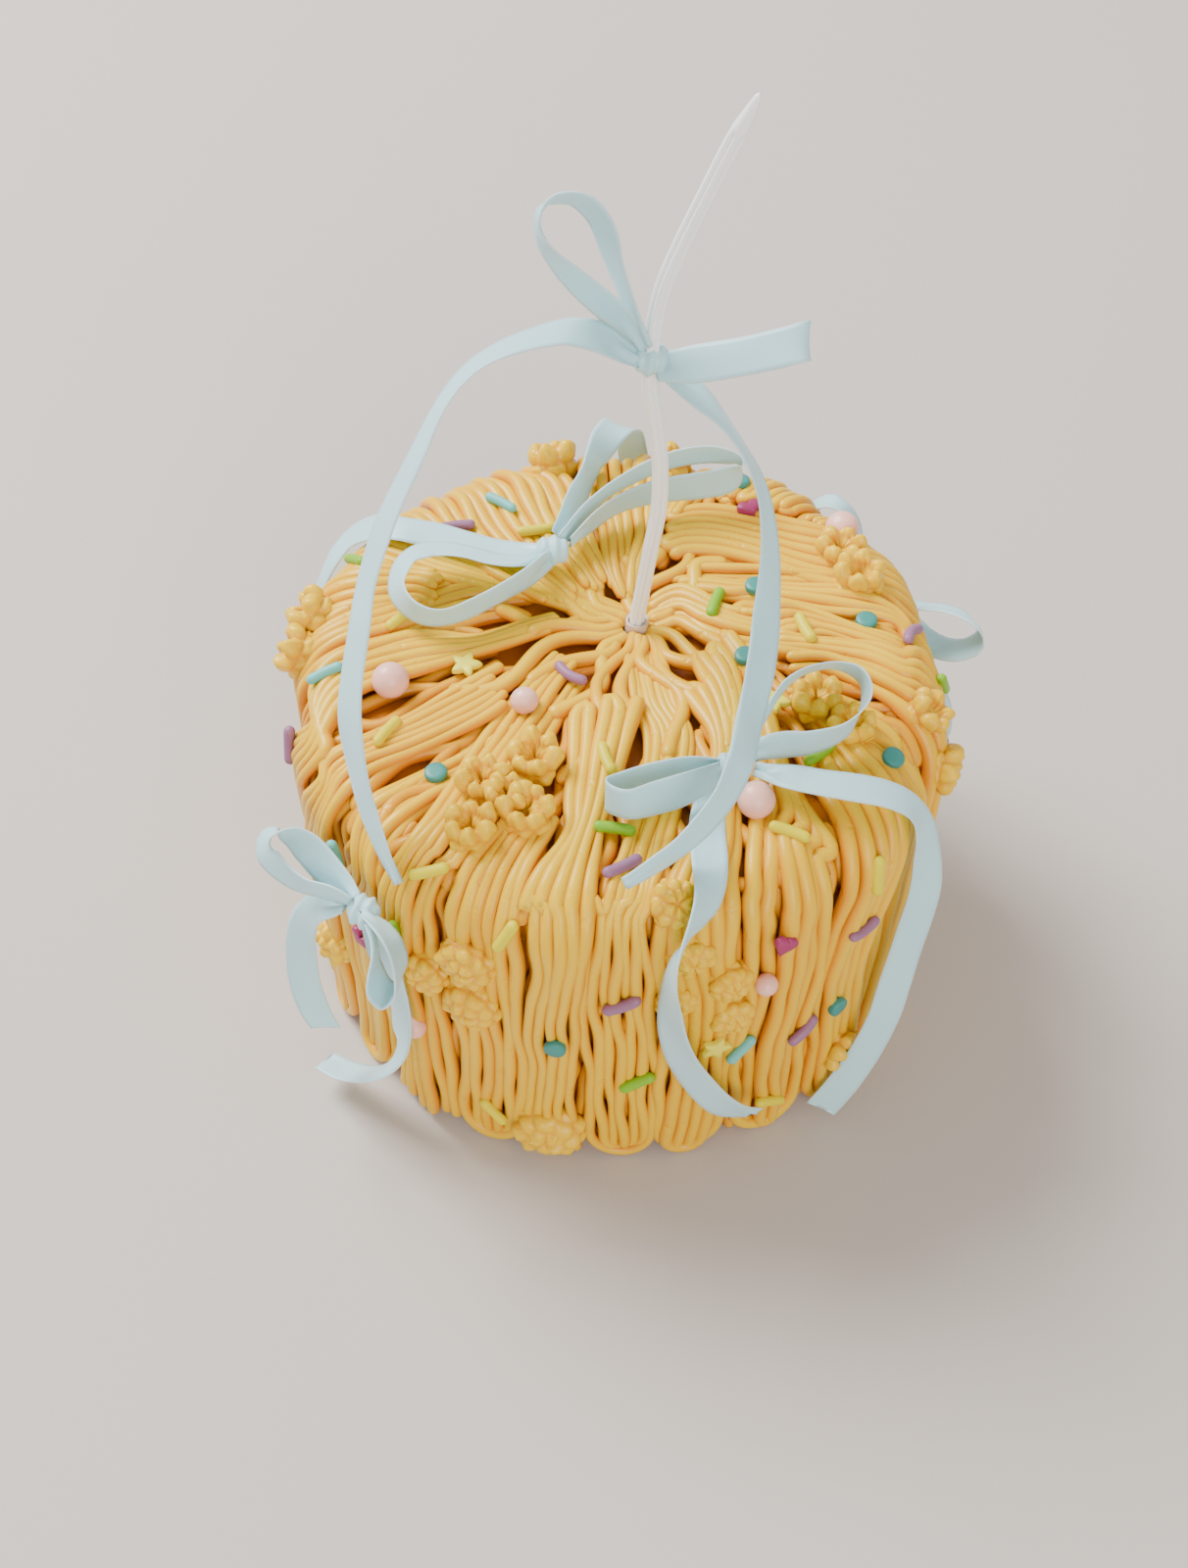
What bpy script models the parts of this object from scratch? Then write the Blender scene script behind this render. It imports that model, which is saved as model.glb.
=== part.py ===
# A round celebration cake dressed with piped cream strands, sugar toppings, satin
# bows and one slim candle. Sizes below are in millimetres; the meshes are in metres.
# The base stands on z = 0, +Z is up, and the view that shows it best looks along +Y.

import math
import random

import bmesh
import bpy
from mathutils import Vector

MM = 0.001
GAP = 0.3

SIDE_R = 72.5
FOOT_R = 71.5
CROWN_Z = 93.0
SHOULDER_R = 13.0
HUB = Vector((4.8, 13.0, 0.0))
HUB_DIP = 3.2
CORNER = 1.4
CORNER_AZ = 47.0

RIDGES = 120
RIDGE_DEPTH = 1.4
SWATH_DEPTH = 1.3

RIBBON_W = 7.5
RIBBON_T = 0.5
CANDLE_R = 1.7
HOLDER_R = 2.8

FLAT_L = SIDE_R - SHOULDER_R
ARC_L = SHOULDER_R * math.pi / 2
SKIN_L = FLAT_L + ARC_L + CROWN_Z - SHOULDER_R

# Colours read off the photo, as linear values.
COLOURS = {
    "cream": (0.80, 0.52, 0.17),
    "ribbon": (0.53, 0.68, 0.70),
    "candle": (0.72, 0.69, 0.66),
    "holder": (0.80, 0.70, 0.55),
    "pearl": (0.76, 0.48, 0.40),
}
FINISH = {"cream": 0.55, "ribbon": 0.4, "candle": 0.3, "holder": 0.3, "pearl": 0.35}


def clear_scene():
    for ob in list(bpy.data.objects):
        bpy.data.objects.remove(ob, do_unlink=True)


def material(slot):
    found = bpy.data.materials.get(slot)
    if found:
        return found
    mat = bpy.data.materials.new(slot)
    mat.use_nodes = True
    shader = mat.node_tree.nodes["Principled BSDF"]
    shader.inputs["Base Color"].default_value = (*COLOURS[slot], 1.0)
    shader.inputs["Roughness"].default_value = FINISH[slot]
    shader.inputs["Metallic"].default_value = 0.0
    return mat


def new_collection(name):
    col = bpy.data.collections.new(name)
    bpy.context.scene.collection.children.link(col)
    return col


def mesh_object(name, bm, col, slot=None):
    """Turn a bmesh in millimetres into an object in metres."""
    bmesh.ops.scale(bm, vec=Vector((MM, MM, MM)), verts=bm.verts)
    bmesh.ops.recalc_face_normals(bm, faces=bm.faces)
    mesh = bpy.data.meshes.new(name)
    bm.to_mesh(mesh)
    bm.free()
    ob = bpy.data.objects.new(name, mesh)
    col.objects.link(ob)
    if slot:
        ob.data.materials.append(material(slot))
    return ob


# The skin of the cake: r and z go from the hub out to the shoulder and down the side.

def profile(s):
    """Radius, height and outward normal at distance s along the skin."""
    if s <= FLAT_L:
        return s, CROWN_Z - HUB_DIP * math.exp(-(s / 16.0) ** 2), 0.0, 1.0
    if s <= FLAT_L + ARC_L:
        turn = (s - FLAT_L) / SHOULDER_R
        r = FLAT_L + SHOULDER_R * math.sin(turn)
        return r, CROWN_Z - SHOULDER_R * (1 - math.cos(turn)), math.sin(turn), math.cos(turn)
    down = min(s - FLAT_L - ARC_L, CROWN_Z - SHOULDER_R)
    share = down / (CROWN_Z - SHOULDER_R)
    return SIDE_R - (SIDE_R - FOOT_R) * share, CROWN_Z - SHOULDER_R - down, 1.0, 0.0


def skin(az, s, lift=0.0):
    """Point on the skin; azimuth 0 is the front, 90 degrees is the right."""
    r, z, nr, nz = profile(s)
    out = min(r / 60.0, 1.0)
    out = out * out * (3 - 2 * out)
    r += CORNER * math.cos(4 * (az - math.radians(CORNER_AZ))) * out + lift * nr
    centre = HUB * (1 - out)
    return Vector((centre.x + r * math.sin(az), centre.y - r * math.cos(az), z + lift * nz))


def outward(az, s):
    _, _, nr, nz = profile(s)
    return Vector((nr * math.sin(az), -nr * math.cos(az), nz)).normalized()


def frame_at(az, s, turn):
    """Outward, along and across directions at a place on the skin."""
    n = outward(az, s)
    down = (skin(az, s + 1.0) - skin(az, s - 1.0)).normalized()
    down = (down - n * down.dot(n)).normalized()
    side = n.cross(down)
    a = math.radians(turn)
    along = down * math.cos(a) + side * math.sin(a)
    return n, along, n.cross(along)


# Cream strands laid side by side in swaths of five to eight, each swath a little
# higher or lower than the next, with a deeper furrow where two swaths meet.

def swaths(rng):
    """For each ridge: its swath's height, its place across it, and whether it ends it."""
    rows = []
    while len(rows) < RIDGES:
        count = min(rng.randint(5, 8), RIDGES - len(rows))
        height = rng.uniform(-0.2, 1.1)
        lean = rng.uniform(-1.0, 1.0)
        for i in range(count):
            bow = math.sin(math.pi * (i + 0.5) / count)
            rows.append((height + 0.7 * bow, lean, i == count - 1))
    return rows


def wander(az, s):
    """How far a strand leans round the cake as it runs down, in radians."""
    run = max(s - 12.0, 0.0) / SKIN_L
    return math.radians(3.2 * run * math.sin(3 * az + 0.6) + 2.0 * run * math.sin(7 * az + s / 26.0))


def cream_body(col, rng):
    zones = ((4, (5.0, 9.5)), (2, (15.0, 24.0)),
             (1, (36.0, 57.0, 69.0, 80.0, 118.0, SKIN_L)))
    rows = swaths(rng)
    bm = bmesh.new()
    centre = bm.verts.new(skin(0.0, 0.0))
    rings = []
    for step, stations in zones:
        for s in stations:
            ring = []
            pitch = min(1.0, 2 * math.pi * s * step / RIDGES / 3.0)
            for c in range(0, RIDGES, step):
                height, lean, last = rows[c]
                grow = min(1.0, max(0.0, (s - 12.0) / 24.0))
                wave = 0.35 * math.sin(s / 9.0 + 5.0 * lean)
                for half in (0, 1):
                    az = 2 * math.pi * (c + half * step / 2) / RIDGES
                    az += wander(az, s)
                    lift = (height + wave) * grow
                    if half:
                        nxt = rows[(c + step) % RIDGES][0]
                        low = min(height, nxt) * grow
                        lift = low - pitch * (RIDGE_DEPTH + SWATH_DEPTH * last * grow)
                    ring.append(bm.verts.new(skin(az, s, lift)))
            rings.append(ring)
    first = rings[0]
    for i in range(len(first)):
        bm.faces.new((centre, first[i], first[(i + 1) % len(first)]))
    for up, low in zip(rings, rings[1:]):
        n = len(up)
        for i in range(n):
            a, b = up[i], up[(i + 1) % n]
            if len(low) == n:
                c, d = low[i], low[(i + 1) % n]
                if i % 2:
                    bm.faces.new((a, c, d))
                    bm.faces.new((a, d, b))
                else:
                    bm.faces.new((a, c, b))
                    bm.faces.new((b, c, d))
            else:
                c, m, d = low[2 * i], low[2 * i + 1], low[(2 * i + 2) % len(low)]
                bm.faces.new((a, c, m))
                bm.faces.new((a, m, b))
                bm.faces.new((b, m, d))
    foot = rings[-1]
    floor = bm.verts.new((0.0, 0.0, 0.0))
    for vert in foot:
        vert.co.z = 0.0
    for i in range(len(foot)):
        bm.faces.new((floor, foot[(i + 1) % len(foot)], foot[i]))
    return mesh_object("cake", bm, col, "cream")


def rosette(col, name, az, s, size, height, turn, petals=5):
    """A piped star: petals round a hollow top, sunk a little in the strands."""
    n, along, across = frame_at(az, s, turn)
    base = skin(az, s, -1.6)
    bm = bmesh.new()
    rings = []
    for r, h, cut, twist in ((1.05, 0.0, 0.74, 0.0), (0.62, 1.0, 0.66, 0.25)):
        ring = []
        for i in range(petals * 2):
            a = math.pi * i / petals + twist
            reach = size * r * (1.0 if i % 2 == 0 else cut)
            rise = (height + 1.6) * h * (1.0 if i % 2 == 0 else 0.88)
            point = base + along * (reach * math.cos(a)) + across * (reach * math.sin(a)) + n * rise
            ring.append(bm.verts.new(point))
        rings.append(ring)
    top = bm.verts.new(base + n * (height + 1.6) * 0.82)
    low = bm.verts.new(base)
    for up, under in zip(rings, rings[1:]):
        for i in range(len(up)):
            j = (i + 1) % len(up)
            bm.faces.new((up[i], up[j], under[j], under[i]))
    for i in range(len(rings[0])):
        j = (i + 1) % len(rings[0])
        bm.faces.new((low, rings[0][j], rings[0][i]))
        bm.faces.new((top, rings[-1][i], rings[-1][j]))
    return mesh_object(name, bm, col)


def prism(col, name, az, s, turn, outline, thick, sink):
    """A flat sugar shape lying on the strands."""
    n, along, across = frame_at(az, s, turn)
    base = skin(az, s, sink)
    bm = bmesh.new()
    low = [bm.verts.new(base + along * x + across * y) for x, y in outline]
    top = [bm.verts.new(v.co + n * thick) for v in low]
    bm.faces.new(low)
    bm.faces.new(top)
    for i in range(len(low)):
        j = (i + 1) % len(low)
        bm.faces.new((low[i], low[j], top[j], top[i]))
    return mesh_object(name, bm, col)


def rod(col, name, az, s, turn, length=9.0, r=1.3, sides=4):
    """A sugar rod with pointed-off ends, half sunk in the strands."""
    n, along, across = frame_at(az, s, turn)
    base = skin(az, s, 0.9)
    bm = bmesh.new()
    rings = []
    for at in (-0.5 * length + 0.9, 0.5 * length - 0.9):
        ring = []
        for i in range(sides):
            a = 2 * math.pi * (i + 0.5) / sides
            ring.append(bm.verts.new(base + along * at + across * (r * math.cos(a)) + n * (r * math.sin(a))))
        rings.append(ring)
    tips = [bm.verts.new(base + along * (0.5 * length * side)) for side in (-1, 1)]
    for i in range(sides):
        j = (i + 1) % sides
        bm.faces.new((rings[0][i], rings[0][j], rings[1][j], rings[1][i]))
        bm.faces.new((tips[0], rings[0][j], rings[0][i]))
        bm.faces.new((tips[1], rings[1][i], rings[1][j]))
    return mesh_object(name, bm, col)


def disc_outline(r=2.4, sides=7):
    return [(r * math.cos(2 * math.pi * i / sides), r * math.sin(2 * math.pi * i / sides))
            for i in range(sides)]


def star_outline(r=3.0, inner=1.5):
    points = []
    for i in range(10):
        reach = r if i % 2 == 0 else inner
        points.append((reach * math.cos(math.pi * i / 5), reach * math.sin(math.pi * i / 5)))
    return points


def heart_outline(size=2.6):
    points = []
    for i in range(8):
        a = 2 * math.pi * i / 8
        x = 16 * math.sin(a) ** 3
        y = 13 * math.cos(a) - 5 * math.cos(2 * a) - 2 * math.cos(3 * a) - math.cos(4 * a)
        points.append((size * x / 15, size * y / 15))
    return points


# Azimuth in degrees, distance along the skin, radius and height of each piped star.
ROSETTES = (
    (-28, 39, 5.8, 4.0), (-35, 48, 5.4, 3.6), (-22, 52, 5.6, 4.0),
    (-25, 88, 4.8, 3.4), (-31, 99, 5.2, 3.6), (-25, 107, 5.2, 3.4),
    (-12, 152, 7.2, 4.2), (-104, 72, 5.6, 4.0), (-96, 74, 5.2, 4.0),
    (-167, 67, 5.6, 5.0), (168, 66, 5.0, 4.0), (113, 60, 5.4, 4.2), (122, 60, 5.0, 4.0),
    (69, 45, 5.2, 3.6), (66, 54, 5.0, 3.4), (78, 69, 4.8, 3.6), (74, 80, 5.4, 3.6),
    (12, 68, 5.0, 2.6), (18, 86, 5.0, 2.8), (20, 105, 5.0, 2.8),
    (44, 141, 5.4, 3.6), (-62, 126, 5.6, 3.6),
    (150, 98, 5.4, 3.6), (-148, 142, 5.6, 3.8),
)

# Sugar rods: azimuth, distance along the skin, turn from straight down.
RODS = (
    (-64, 54, 28), (-33, 68, -52), (-18, 76, -24), (-6, 37, 26), (35, 60, 32), (45, 76, -16),
    (-22, 146, 40), (29, 146, 58), (96, 42, -60), (-151, 40, 55), (-102, 50, 50),
    (-118, 67, -20), (-37, 87, 8), (109, 20, 70), (54, 51, 88), (-1, 51, 84), (4, 128, -56),
    (90, 76, 20), (-42, 20, 86), (1, 60, -62), (1, 96, -60), (43, 91, 86), (34, 121, -50),
    (-77, 78, 24), (-137, 53, 50), (97, 67, 50), (82, 86, 10), (-151, 55, 20), (22, 119, -40),
    (-52, 80, 20), (-84, 64, 10), (170, 92, 40), (-118, 112, 15),
)
DISCS = ((-48, 50), (-10, 111), (63, 64), (71, 27), (117, 33), (101, 58), (11, 40), (41, 119),
         (152, 62), (-132, 90))
HEARTS = ((27, 81, 150), (-48, 103, 150), (146, 55, 60), (-127, 62, 100))
STARS = ((-77, 36, 10), (59, 37, 30), (17, 114, 12), (128, 92, 0))

# Sugar pearls: azimuth, distance along the skin, diameter.
PEARLS = ((-78, 51, 8.0), (-46, 30, 6.0), (33, 51, 8.0), (127, 64, 8.0),
          (25, 95, 5.0), (-36, 122, 5.0), (163, 116, 8.0), (-136, 108, 6.0))

# The candle's middle line, from inside its holder to the tip.
CANDLE = ((4.8, 13.0, 84.6), (4.8, 13.0, 92.0), (5.7, 12.9, 99.6), (7.3, 12.7, 113.1),
          (8.7, 12.6, 124.4), (8.8, 12.4, 135.4), (7.9, 12.3, 145.9), (6.5, 12.1, 156.1),
          (6.1, 12.0, 163.4), (6.6, 11.9, 172.8), (8.2, 11.7, 182.1), (11.4, 11.5, 192.0),
          (15.4, 11.3, 202.6), (19.4, 11.2, 212.7), (23.5, 11.0, 222.4))


def union(target, col):
    """Join everything in a collection to the target, then drop the collection's objects."""
    mod = target.modifiers.new("join", "BOOLEAN")
    mod.operation = "UNION"
    mod.operand_type = "COLLECTION"
    mod.collection = col
    mod.solver = "MANIFOLD"
    apply_modifiers(target)
    for ob in list(col.objects):
        bpy.data.objects.remove(ob, do_unlink=True)


def cut(target, cutter):
    mod = target.modifiers.new("cut", "BOOLEAN")
    mod.operation = "DIFFERENCE"
    mod.object = cutter
    mod.solver = "MANIFOLD"
    apply_modifiers(target)
    bpy.data.objects.remove(cutter, do_unlink=True)


def apply_modifiers(ob):
    bpy.context.view_layer.update()
    shape = ob.evaluated_get(bpy.context.evaluated_depsgraph_get())
    mesh = bpy.data.meshes.new_from_object(shape)
    ob.modifiers.clear()
    ob.data = mesh


def keep_largest(ob):
    """Drop loose scraps and any sealed inner shell."""
    bm = bmesh.new()
    bm.from_mesh(ob.data)
    left = set(bm.verts)
    parts = []
    while left:
        stack = [left.pop()]
        group = set(stack)
        while stack:
            for edge in stack.pop().link_edges:
                for vert in edge.verts:
                    if vert in left:
                        left.discard(vert)
                        group.add(vert)
                        stack.append(vert)
        parts.append(group)
    parts.sort(key=len, reverse=True)
    for group in parts[1:]:
        bmesh.ops.delete(bm, geom=list(group), context="VERTS")
    bmesh.ops.recalc_face_normals(bm, faces=bm.faces)
    bm.to_mesh(ob.data)
    bm.free()


def sphere(col, name, centre, r, slot=None, segments=8, rings=6, squash=(1.0, 1.0, 1.0)):
    bm = bmesh.new()
    bmesh.ops.create_uvsphere(bm, u_segments=segments, v_segments=rings, radius=r)
    bmesh.ops.scale(bm, vec=Vector(squash), verts=bm.verts)
    bmesh.ops.translate(bm, vec=centre, verts=bm.verts)
    return mesh_object(name, bm, col, slot)


def cylinder(col, name, centre, r, low, high, sides=16):
    bm = bmesh.new()
    bmesh.ops.create_cone(bm, cap_ends=True, segments=sides, radius1=r, radius2=r, depth=high - low)
    bmesh.ops.translate(bm, vec=Vector((centre.x, centre.y, (low + high) / 2)), verts=bm.verts)
    return mesh_object(name, bm, col)


def pearl_centre(az, s, size):
    return skin(math.radians(az), s, 0.28 * size + 0.4)


def build_cake(parts, extras):
    rng = random.Random(31)
    cake = cream_body(parts, rng)
    for i, (az, s, size, height) in enumerate(ROSETTES):
        rosette(extras, f"rosette_{i}", math.radians(az), s, size, height, 37 * i)
    for i, (az, s, turn) in enumerate(RODS):
        rod(extras, f"rod_{i}", math.radians(az), s, turn)
    for i, (az, s) in enumerate(DISCS):
        prism(extras, f"disc_{i}", math.radians(az), s, 31 * i, disc_outline(), 2.6, -1.0)
    for i, (az, s, turn) in enumerate(HEARTS):
        prism(extras, f"heart_{i}", math.radians(az), s, turn, heart_outline(), 3.0, -1.0)
    for i, (az, s, turn) in enumerate(STARS):
        prism(extras, f"star_{i}", math.radians(az), s, turn, star_outline(), 2.8, -1.2)
    union(cake, extras)
    for i, (az, s, size) in enumerate(PEARLS):
        cut(cake, sphere(extras, f"pocket_{i}", pearl_centre(az, s, size), size / 2 + GAP + 0.1))
    cut(cake, cylinder(extras, "candle_hole", HUB, HOLDER_R + GAP + 0.1, 82.0, 110.0))
    trim_below_floor(cake, extras)
    keep_largest(cake)
    return cake


def trim_below_floor(ob, extras):
    """Cut off what the foot's toppings push below the floor."""
    bm = bmesh.new()
    bmesh.ops.create_cube(bm, size=1.0)
    bmesh.ops.scale(bm, vec=Vector((240.0, 240.0, 20.0)), verts=bm.verts)
    bmesh.ops.translate(bm, vec=Vector((0.0, 0.0, -10.0)), verts=bm.verts)
    cut(ob, mesh_object("floor_cut", bm, extras))


def build_candle(parts):
    curve = bpy.data.curves.new("candle_line", "CURVE")
    curve.dimensions = "3D"
    curve.bevel_depth = CANDLE_R * MM
    curve.bevel_resolution = 2
    curve.use_fill_caps = True
    line = curve.splines.new("POLY")
    line.points.add(len(CANDLE) - 1)
    for point, (x, y, z) in zip(line.points, CANDLE):
        point.co = (x * MM, y * MM, z * MM, 1.0)
        point.radius = 1.0
    line.points[-1].radius = 0.2
    line.points[-2].radius = 0.85
    source = bpy.data.objects.new("candle_curve", curve)
    parts.objects.link(source)
    bpy.context.view_layer.update()
    shape = source.evaluated_get(bpy.context.evaluated_depsgraph_get())
    mesh = bpy.data.meshes.new_from_object(shape)
    bpy.data.objects.remove(source, do_unlink=True)
    bm = bmesh.new()
    bm.from_mesh(mesh)
    bmesh.ops.remove_doubles(bm, verts=bm.verts, dist=0.00001)
    bmesh.ops.scale(bm, vec=Vector((1 / MM, 1 / MM, 1 / MM)), verts=bm.verts)
    return mesh_object("candle", bm, parts, "candle")


def build_holder(parts):
    """A small cup that the candle stands in, turned from its half outline."""
    inner = CANDLE_R + GAP + 0.1
    outline = ((0.0, 84.3), (inner, 84.3), (inner, 91.6), (inner + 0.2, 92.4), (HOLDER_R - 0.1, 92.4),
               (HOLDER_R, 91.8), (HOLDER_R, 82.7), (0.0, 82.3))
    bm = bmesh.new()
    verts = [bm.verts.new((r, 0.0, z)) for r, z in outline]
    edges = [bm.edges.new((a, b)) for a, b in zip(verts, verts[1:])]
    bmesh.ops.spin(bm, geom=verts + edges, cent=(0, 0, 0), axis=(0, 0, 1),
                   angle=2 * math.pi, steps=14, use_merge=True)
    bmesh.ops.remove_doubles(bm, verts=bm.verts, dist=0.001)
    bmesh.ops.translate(bm, vec=HUB, verts=bm.verts)
    return mesh_object("candle_holder", bm, parts, "holder")


# Ribbons. Each row of a route is a point, the way that the ribbon faces there, and
# the share of its full width where it is gathered.

def cross_sections(route):
    """Four corners of the ribbon at each point of its route."""
    points = [Vector(p[0]) for p in route]
    sections = []
    for i, p in enumerate(points):
        t = (points[min(i + 1, len(points) - 1)] - points[max(i - 1, 0)]).normalized()
        n = Vector(route[i][1])
        n = (n - t * n.dot(t)).normalized()
        w = n.cross(t)
        size = RIBBON_W * (route[i][2] if len(route[i]) > 2 else 1.0)
        corners = ((1, 1), (-1, 1), (-1, -1), (1, -1))
        sections.append([p + w * (a * size / 2) + n * (b * RIBBON_T / 2) for a, b in corners])
    return sections


def strip(col, name, sections, slot=None):
    """A closed thin strip through the cross sections, both faces split alike."""
    bm = bmesh.new()
    rings = [[bm.verts.new(corner) for corner in section] for section in sections]
    for up, low in zip(rings, rings[1:]):
        for i in range(4):
            j = (i + 1) % 4
            if i < 2:
                bm.faces.new((up[i], up[j], low[j]))
                bm.faces.new((up[i], low[j], low[i]))
            else:
                bm.faces.new((up[i], up[j], low[i]))
                bm.faces.new((up[j], low[j], low[i]))
    bm.faces.new(rings[0])
    bm.faces.new(rings[-1][::-1])
    return mesh_object(name, bm, col, slot)


def loop(col, name, route):
    """A bow's loop in two halves that share their middle stretch."""
    sections = cross_sections(route)
    middle = len(sections) // 2
    strip(col, name + "_out", sections[:middle + 1])
    strip(col, name + "_back", sections[middle - 1:])


CANDLE_LOOP_L = (
    ((4.4, 11.6, 167), (-0.4, -0.8, -0.3), 0.45), ((1.8, 11, 171.6), (-0.2, -0.9, -0.3), 0.7),
    ((-1.3, 10, 176.9), (-0.2, -0.9, -0.3)), ((-6.4, 9, 182.7), (-0.2, -0.9, -0.4)),
    ((-10.6, 7.6, 188.4), (-0.4, -0.8, -0.5)), ((-13.6, 6.6, 193.7), (-0.7, -0.6, -0.4)),
    ((-15, 6.4, 198.9), (-1, -0.2, -0.1)), ((-14.3, 6.8, 201.9), (-0.9, 0.2, 0.4)),
    ((-11.9, 7.8, 203.3), (-0.3, 0.7, 0.7)), ((-7.3, 9, 202.2), (0.2, 0.8, 0.6)),
    ((-3.5, 9.4, 197.2), (0.6, 0.7, 0.3)), ((-1.5, 10.2, 189.5), (0.8, 0.6, 0.2)),
    ((0.8, 10.8, 180.8), (0.8, 0.5, 0.3)), ((2.9, 11.2, 174), (0.8, 0.6, 0.3), 0.8),
    ((5.2, 11.6, 168.7), (0.6, 0.7, 0.3), 0.45),
)
CANDLE_LOOP_R = (
    ((7.5, 10.4, 163.8), (0, -0.6, 0.8), 0.7), ((14, 7.6, 167), (0, -0.6, 0.8)),
    ((24, 4.4, 171.6), (0, -0.6, 0.8)), ((32.5, 2.4, 175.6), (0, -0.6, 0.8)), ((35.6, 4, 175.4), (1, 0, 0)),
    ((32.5, 6.2, 172.4), (0, 0.6, -0.8)), ((24, 8, 168.4), (0, 0.6, -0.8)),
    ((14, 10.4, 164.6), (0, 0.6, -0.8)), ((7.5, 12, 163), (0, 0.6, -0.8), 0.7),
)
FRONT_KNOT = Vector((24.0, -36.6, 99.4))
FRONT_LOOP_L = (
    ((21.2, -38.2, 99.6), (0.7, -0.7, 0.3), 0.5), ((14.5, -44.2, 101.4), (0.6, -0.7, 0.3)),
    ((8.1, -47.5, 102), (0.4, -0.8, 0.4)), ((1.9, -49.6, 102.2), (-0.1, -1, 0.2)),
    ((-2.5, -46.1, 101.2), (-1, 0, 0)), ((0.8, -42.2, 99.9), (-0.6, 0.8, 0)),
    ((7.9, -39.3, 99.8), (-0.3, 0.9, 0)), ((14.6, -37.6, 99.8), (-0.3, 1, 0)),
    ((21.2, -35.6, 99.4), (-0.3, 1, 0), 0.5),
)
FRONT_LOOP_R = (
    ((24.3, -36, 98.8), (0.5, -0.8, 0.3), 0.4), ((29, -33, 99.6), (0.3, -0.9, 0.3), 0.7),
    ((34, -32.2, 100.4), (0.1, -1, 0.1)),
    ((44.1, -30.6, 101.4), (0.4, -0.9, -0.1)), ((48.3, -28.6, 103), (0.7, -0.7, -0.2)),
    ((51.2, -24.6, 104.6), (0.9, -0.3, -0.3)), ((51.8, -20.7, 105.6), (1, 0.1, -0.1)),
    ((50.5, -16.7, 106), (0.8, 0.6, 0.3)), ((47, -14.4, 106), (0.3, 0.8, 0.5)),
    ((43.2, -14, 105.6), (-0.2, 0.8, 0.5)), ((38.8, -15.4, 104.8), (-0.5, 0.7, 0.4)),
    ((34.5, -19.2, 103.6), (-0.8, 0.6, 0.2), 0.9), ((30.4, -25.9, 102.2), (-0.8, 0.5, 0.1), 0.6),
    ((25.3, -33.8, 101.2), (-0.8, 0.5, 0), 0.35),
)
REAR_KNOT = Vector((-14.3, 27.6, 98.8))
REAR_LOOP_L = (
    ((-14.8, 25.4, 98.6), (0.9, -0.5, 0.1), 0.6), ((-18.9, 18.1, 100), (0.8, -0.6, -0.1)),
    ((-31.8, 7.4, 100.4), (0.5, -0.8, -0.2)),
    ((-38.2, 4.5, 100.6), (0.1, -1, -0.3)), ((-43.5, 5.5, 101), (-0.5, -0.9, -0.1)),
    ((-47.2, 9.2, 101.6), (-0.8, -0.5, 0.2)), ((-48.5, 14.2, 102), (-0.8, -0.1, 0.6)),
    ((-47.2, 20.2, 102.4), (-0.5, 0.2, 0.8)), ((-43.9, 23.4, 102.4), (-0.1, 0.3, 0.9)),
    ((-39.6, 24.7, 102), (0, 0.3, 0.9)),
    ((-27.5, 22.1, 101.8), (0.1, 0.4, 0.9)), ((-22, 22.5, 101), (0, 0.4, 0.9), 0.8),
    ((-16.7, 25.5, 99.8), (0, 0.4, 0.9), 0.5),
)
REAR_LOOP_R = (
    ((-13.4, 28.8, 99.2), (-0.8, 0.6, 0.1), 0.6), ((-7.9, 37, 101.4), (-0.8, 0.6, 0.2)),
    ((3.5, 44.8, 105.4), (-0.5, 0.8, 0.3)), ((14.5, 49.1, 108), (-0.2, 0.9, 0.3)),
    ((26.1, 49.2, 108), (0.3, 0.9, 0.4)), ((29.1, 48.1, 106.2), (1, 0, 0)),
    ((26.1, 45.8, 104.2), (0.3, -0.9, 0.1)), ((12.8, 44.5, 102), (0.1, -1, 0)),
    ((0.5, 40.8, 100.6), (0.5, -0.8, -0.2)), ((-4.9, 36.3, 100), (0.7, -0.7, -0.2)),
    ((-12.2, 28.4, 98.8), (0.7, -0.7, -0.1), 0.6),
)
SIDE_KNOT = Vector((66.8, 41.2, 65.0))
SIDE_LOOP_B = (
    ((65.6, 41.6, 65.9), (0.6, 0.1, 0.8), 0.6), ((62.9, 47.6, 66.8), (0.7, 0, 0.7)),
    ((59.8, 51.8, 71.5), (0.9, -0.2, 0.4)), ((59, 52.5, 77.7), (0.9, -0.4, 0.2)),
    ((57.8, 54, 82.7), (0.9, -0.2, 0.5)), ((55.1, 55.6, 86.6), (0.6, 0.1, 0.8)),
    ((51.9, 57.6, 86.8), (-0.2, 0.4, 0.9)), ((49.5, 60, 82.7), (-0.9, 0.2, 0.4)),
    ((48.5, 61.6, 76.4), (-0.9, -0.3, -0.1)), ((50.8, 62.4, 68.2), (-0.8, -0.5, -0.3)),
    ((56, 58.5, 63.1), (-0.8, -0.6, -0.3)), ((61.8, 50, 62.5), (-0.8, -0.5, -0.3), 0.9),
    ((65.8, 42.4, 64.1), (-0.8, -0.5, -0.3), 0.5),
)
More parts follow.
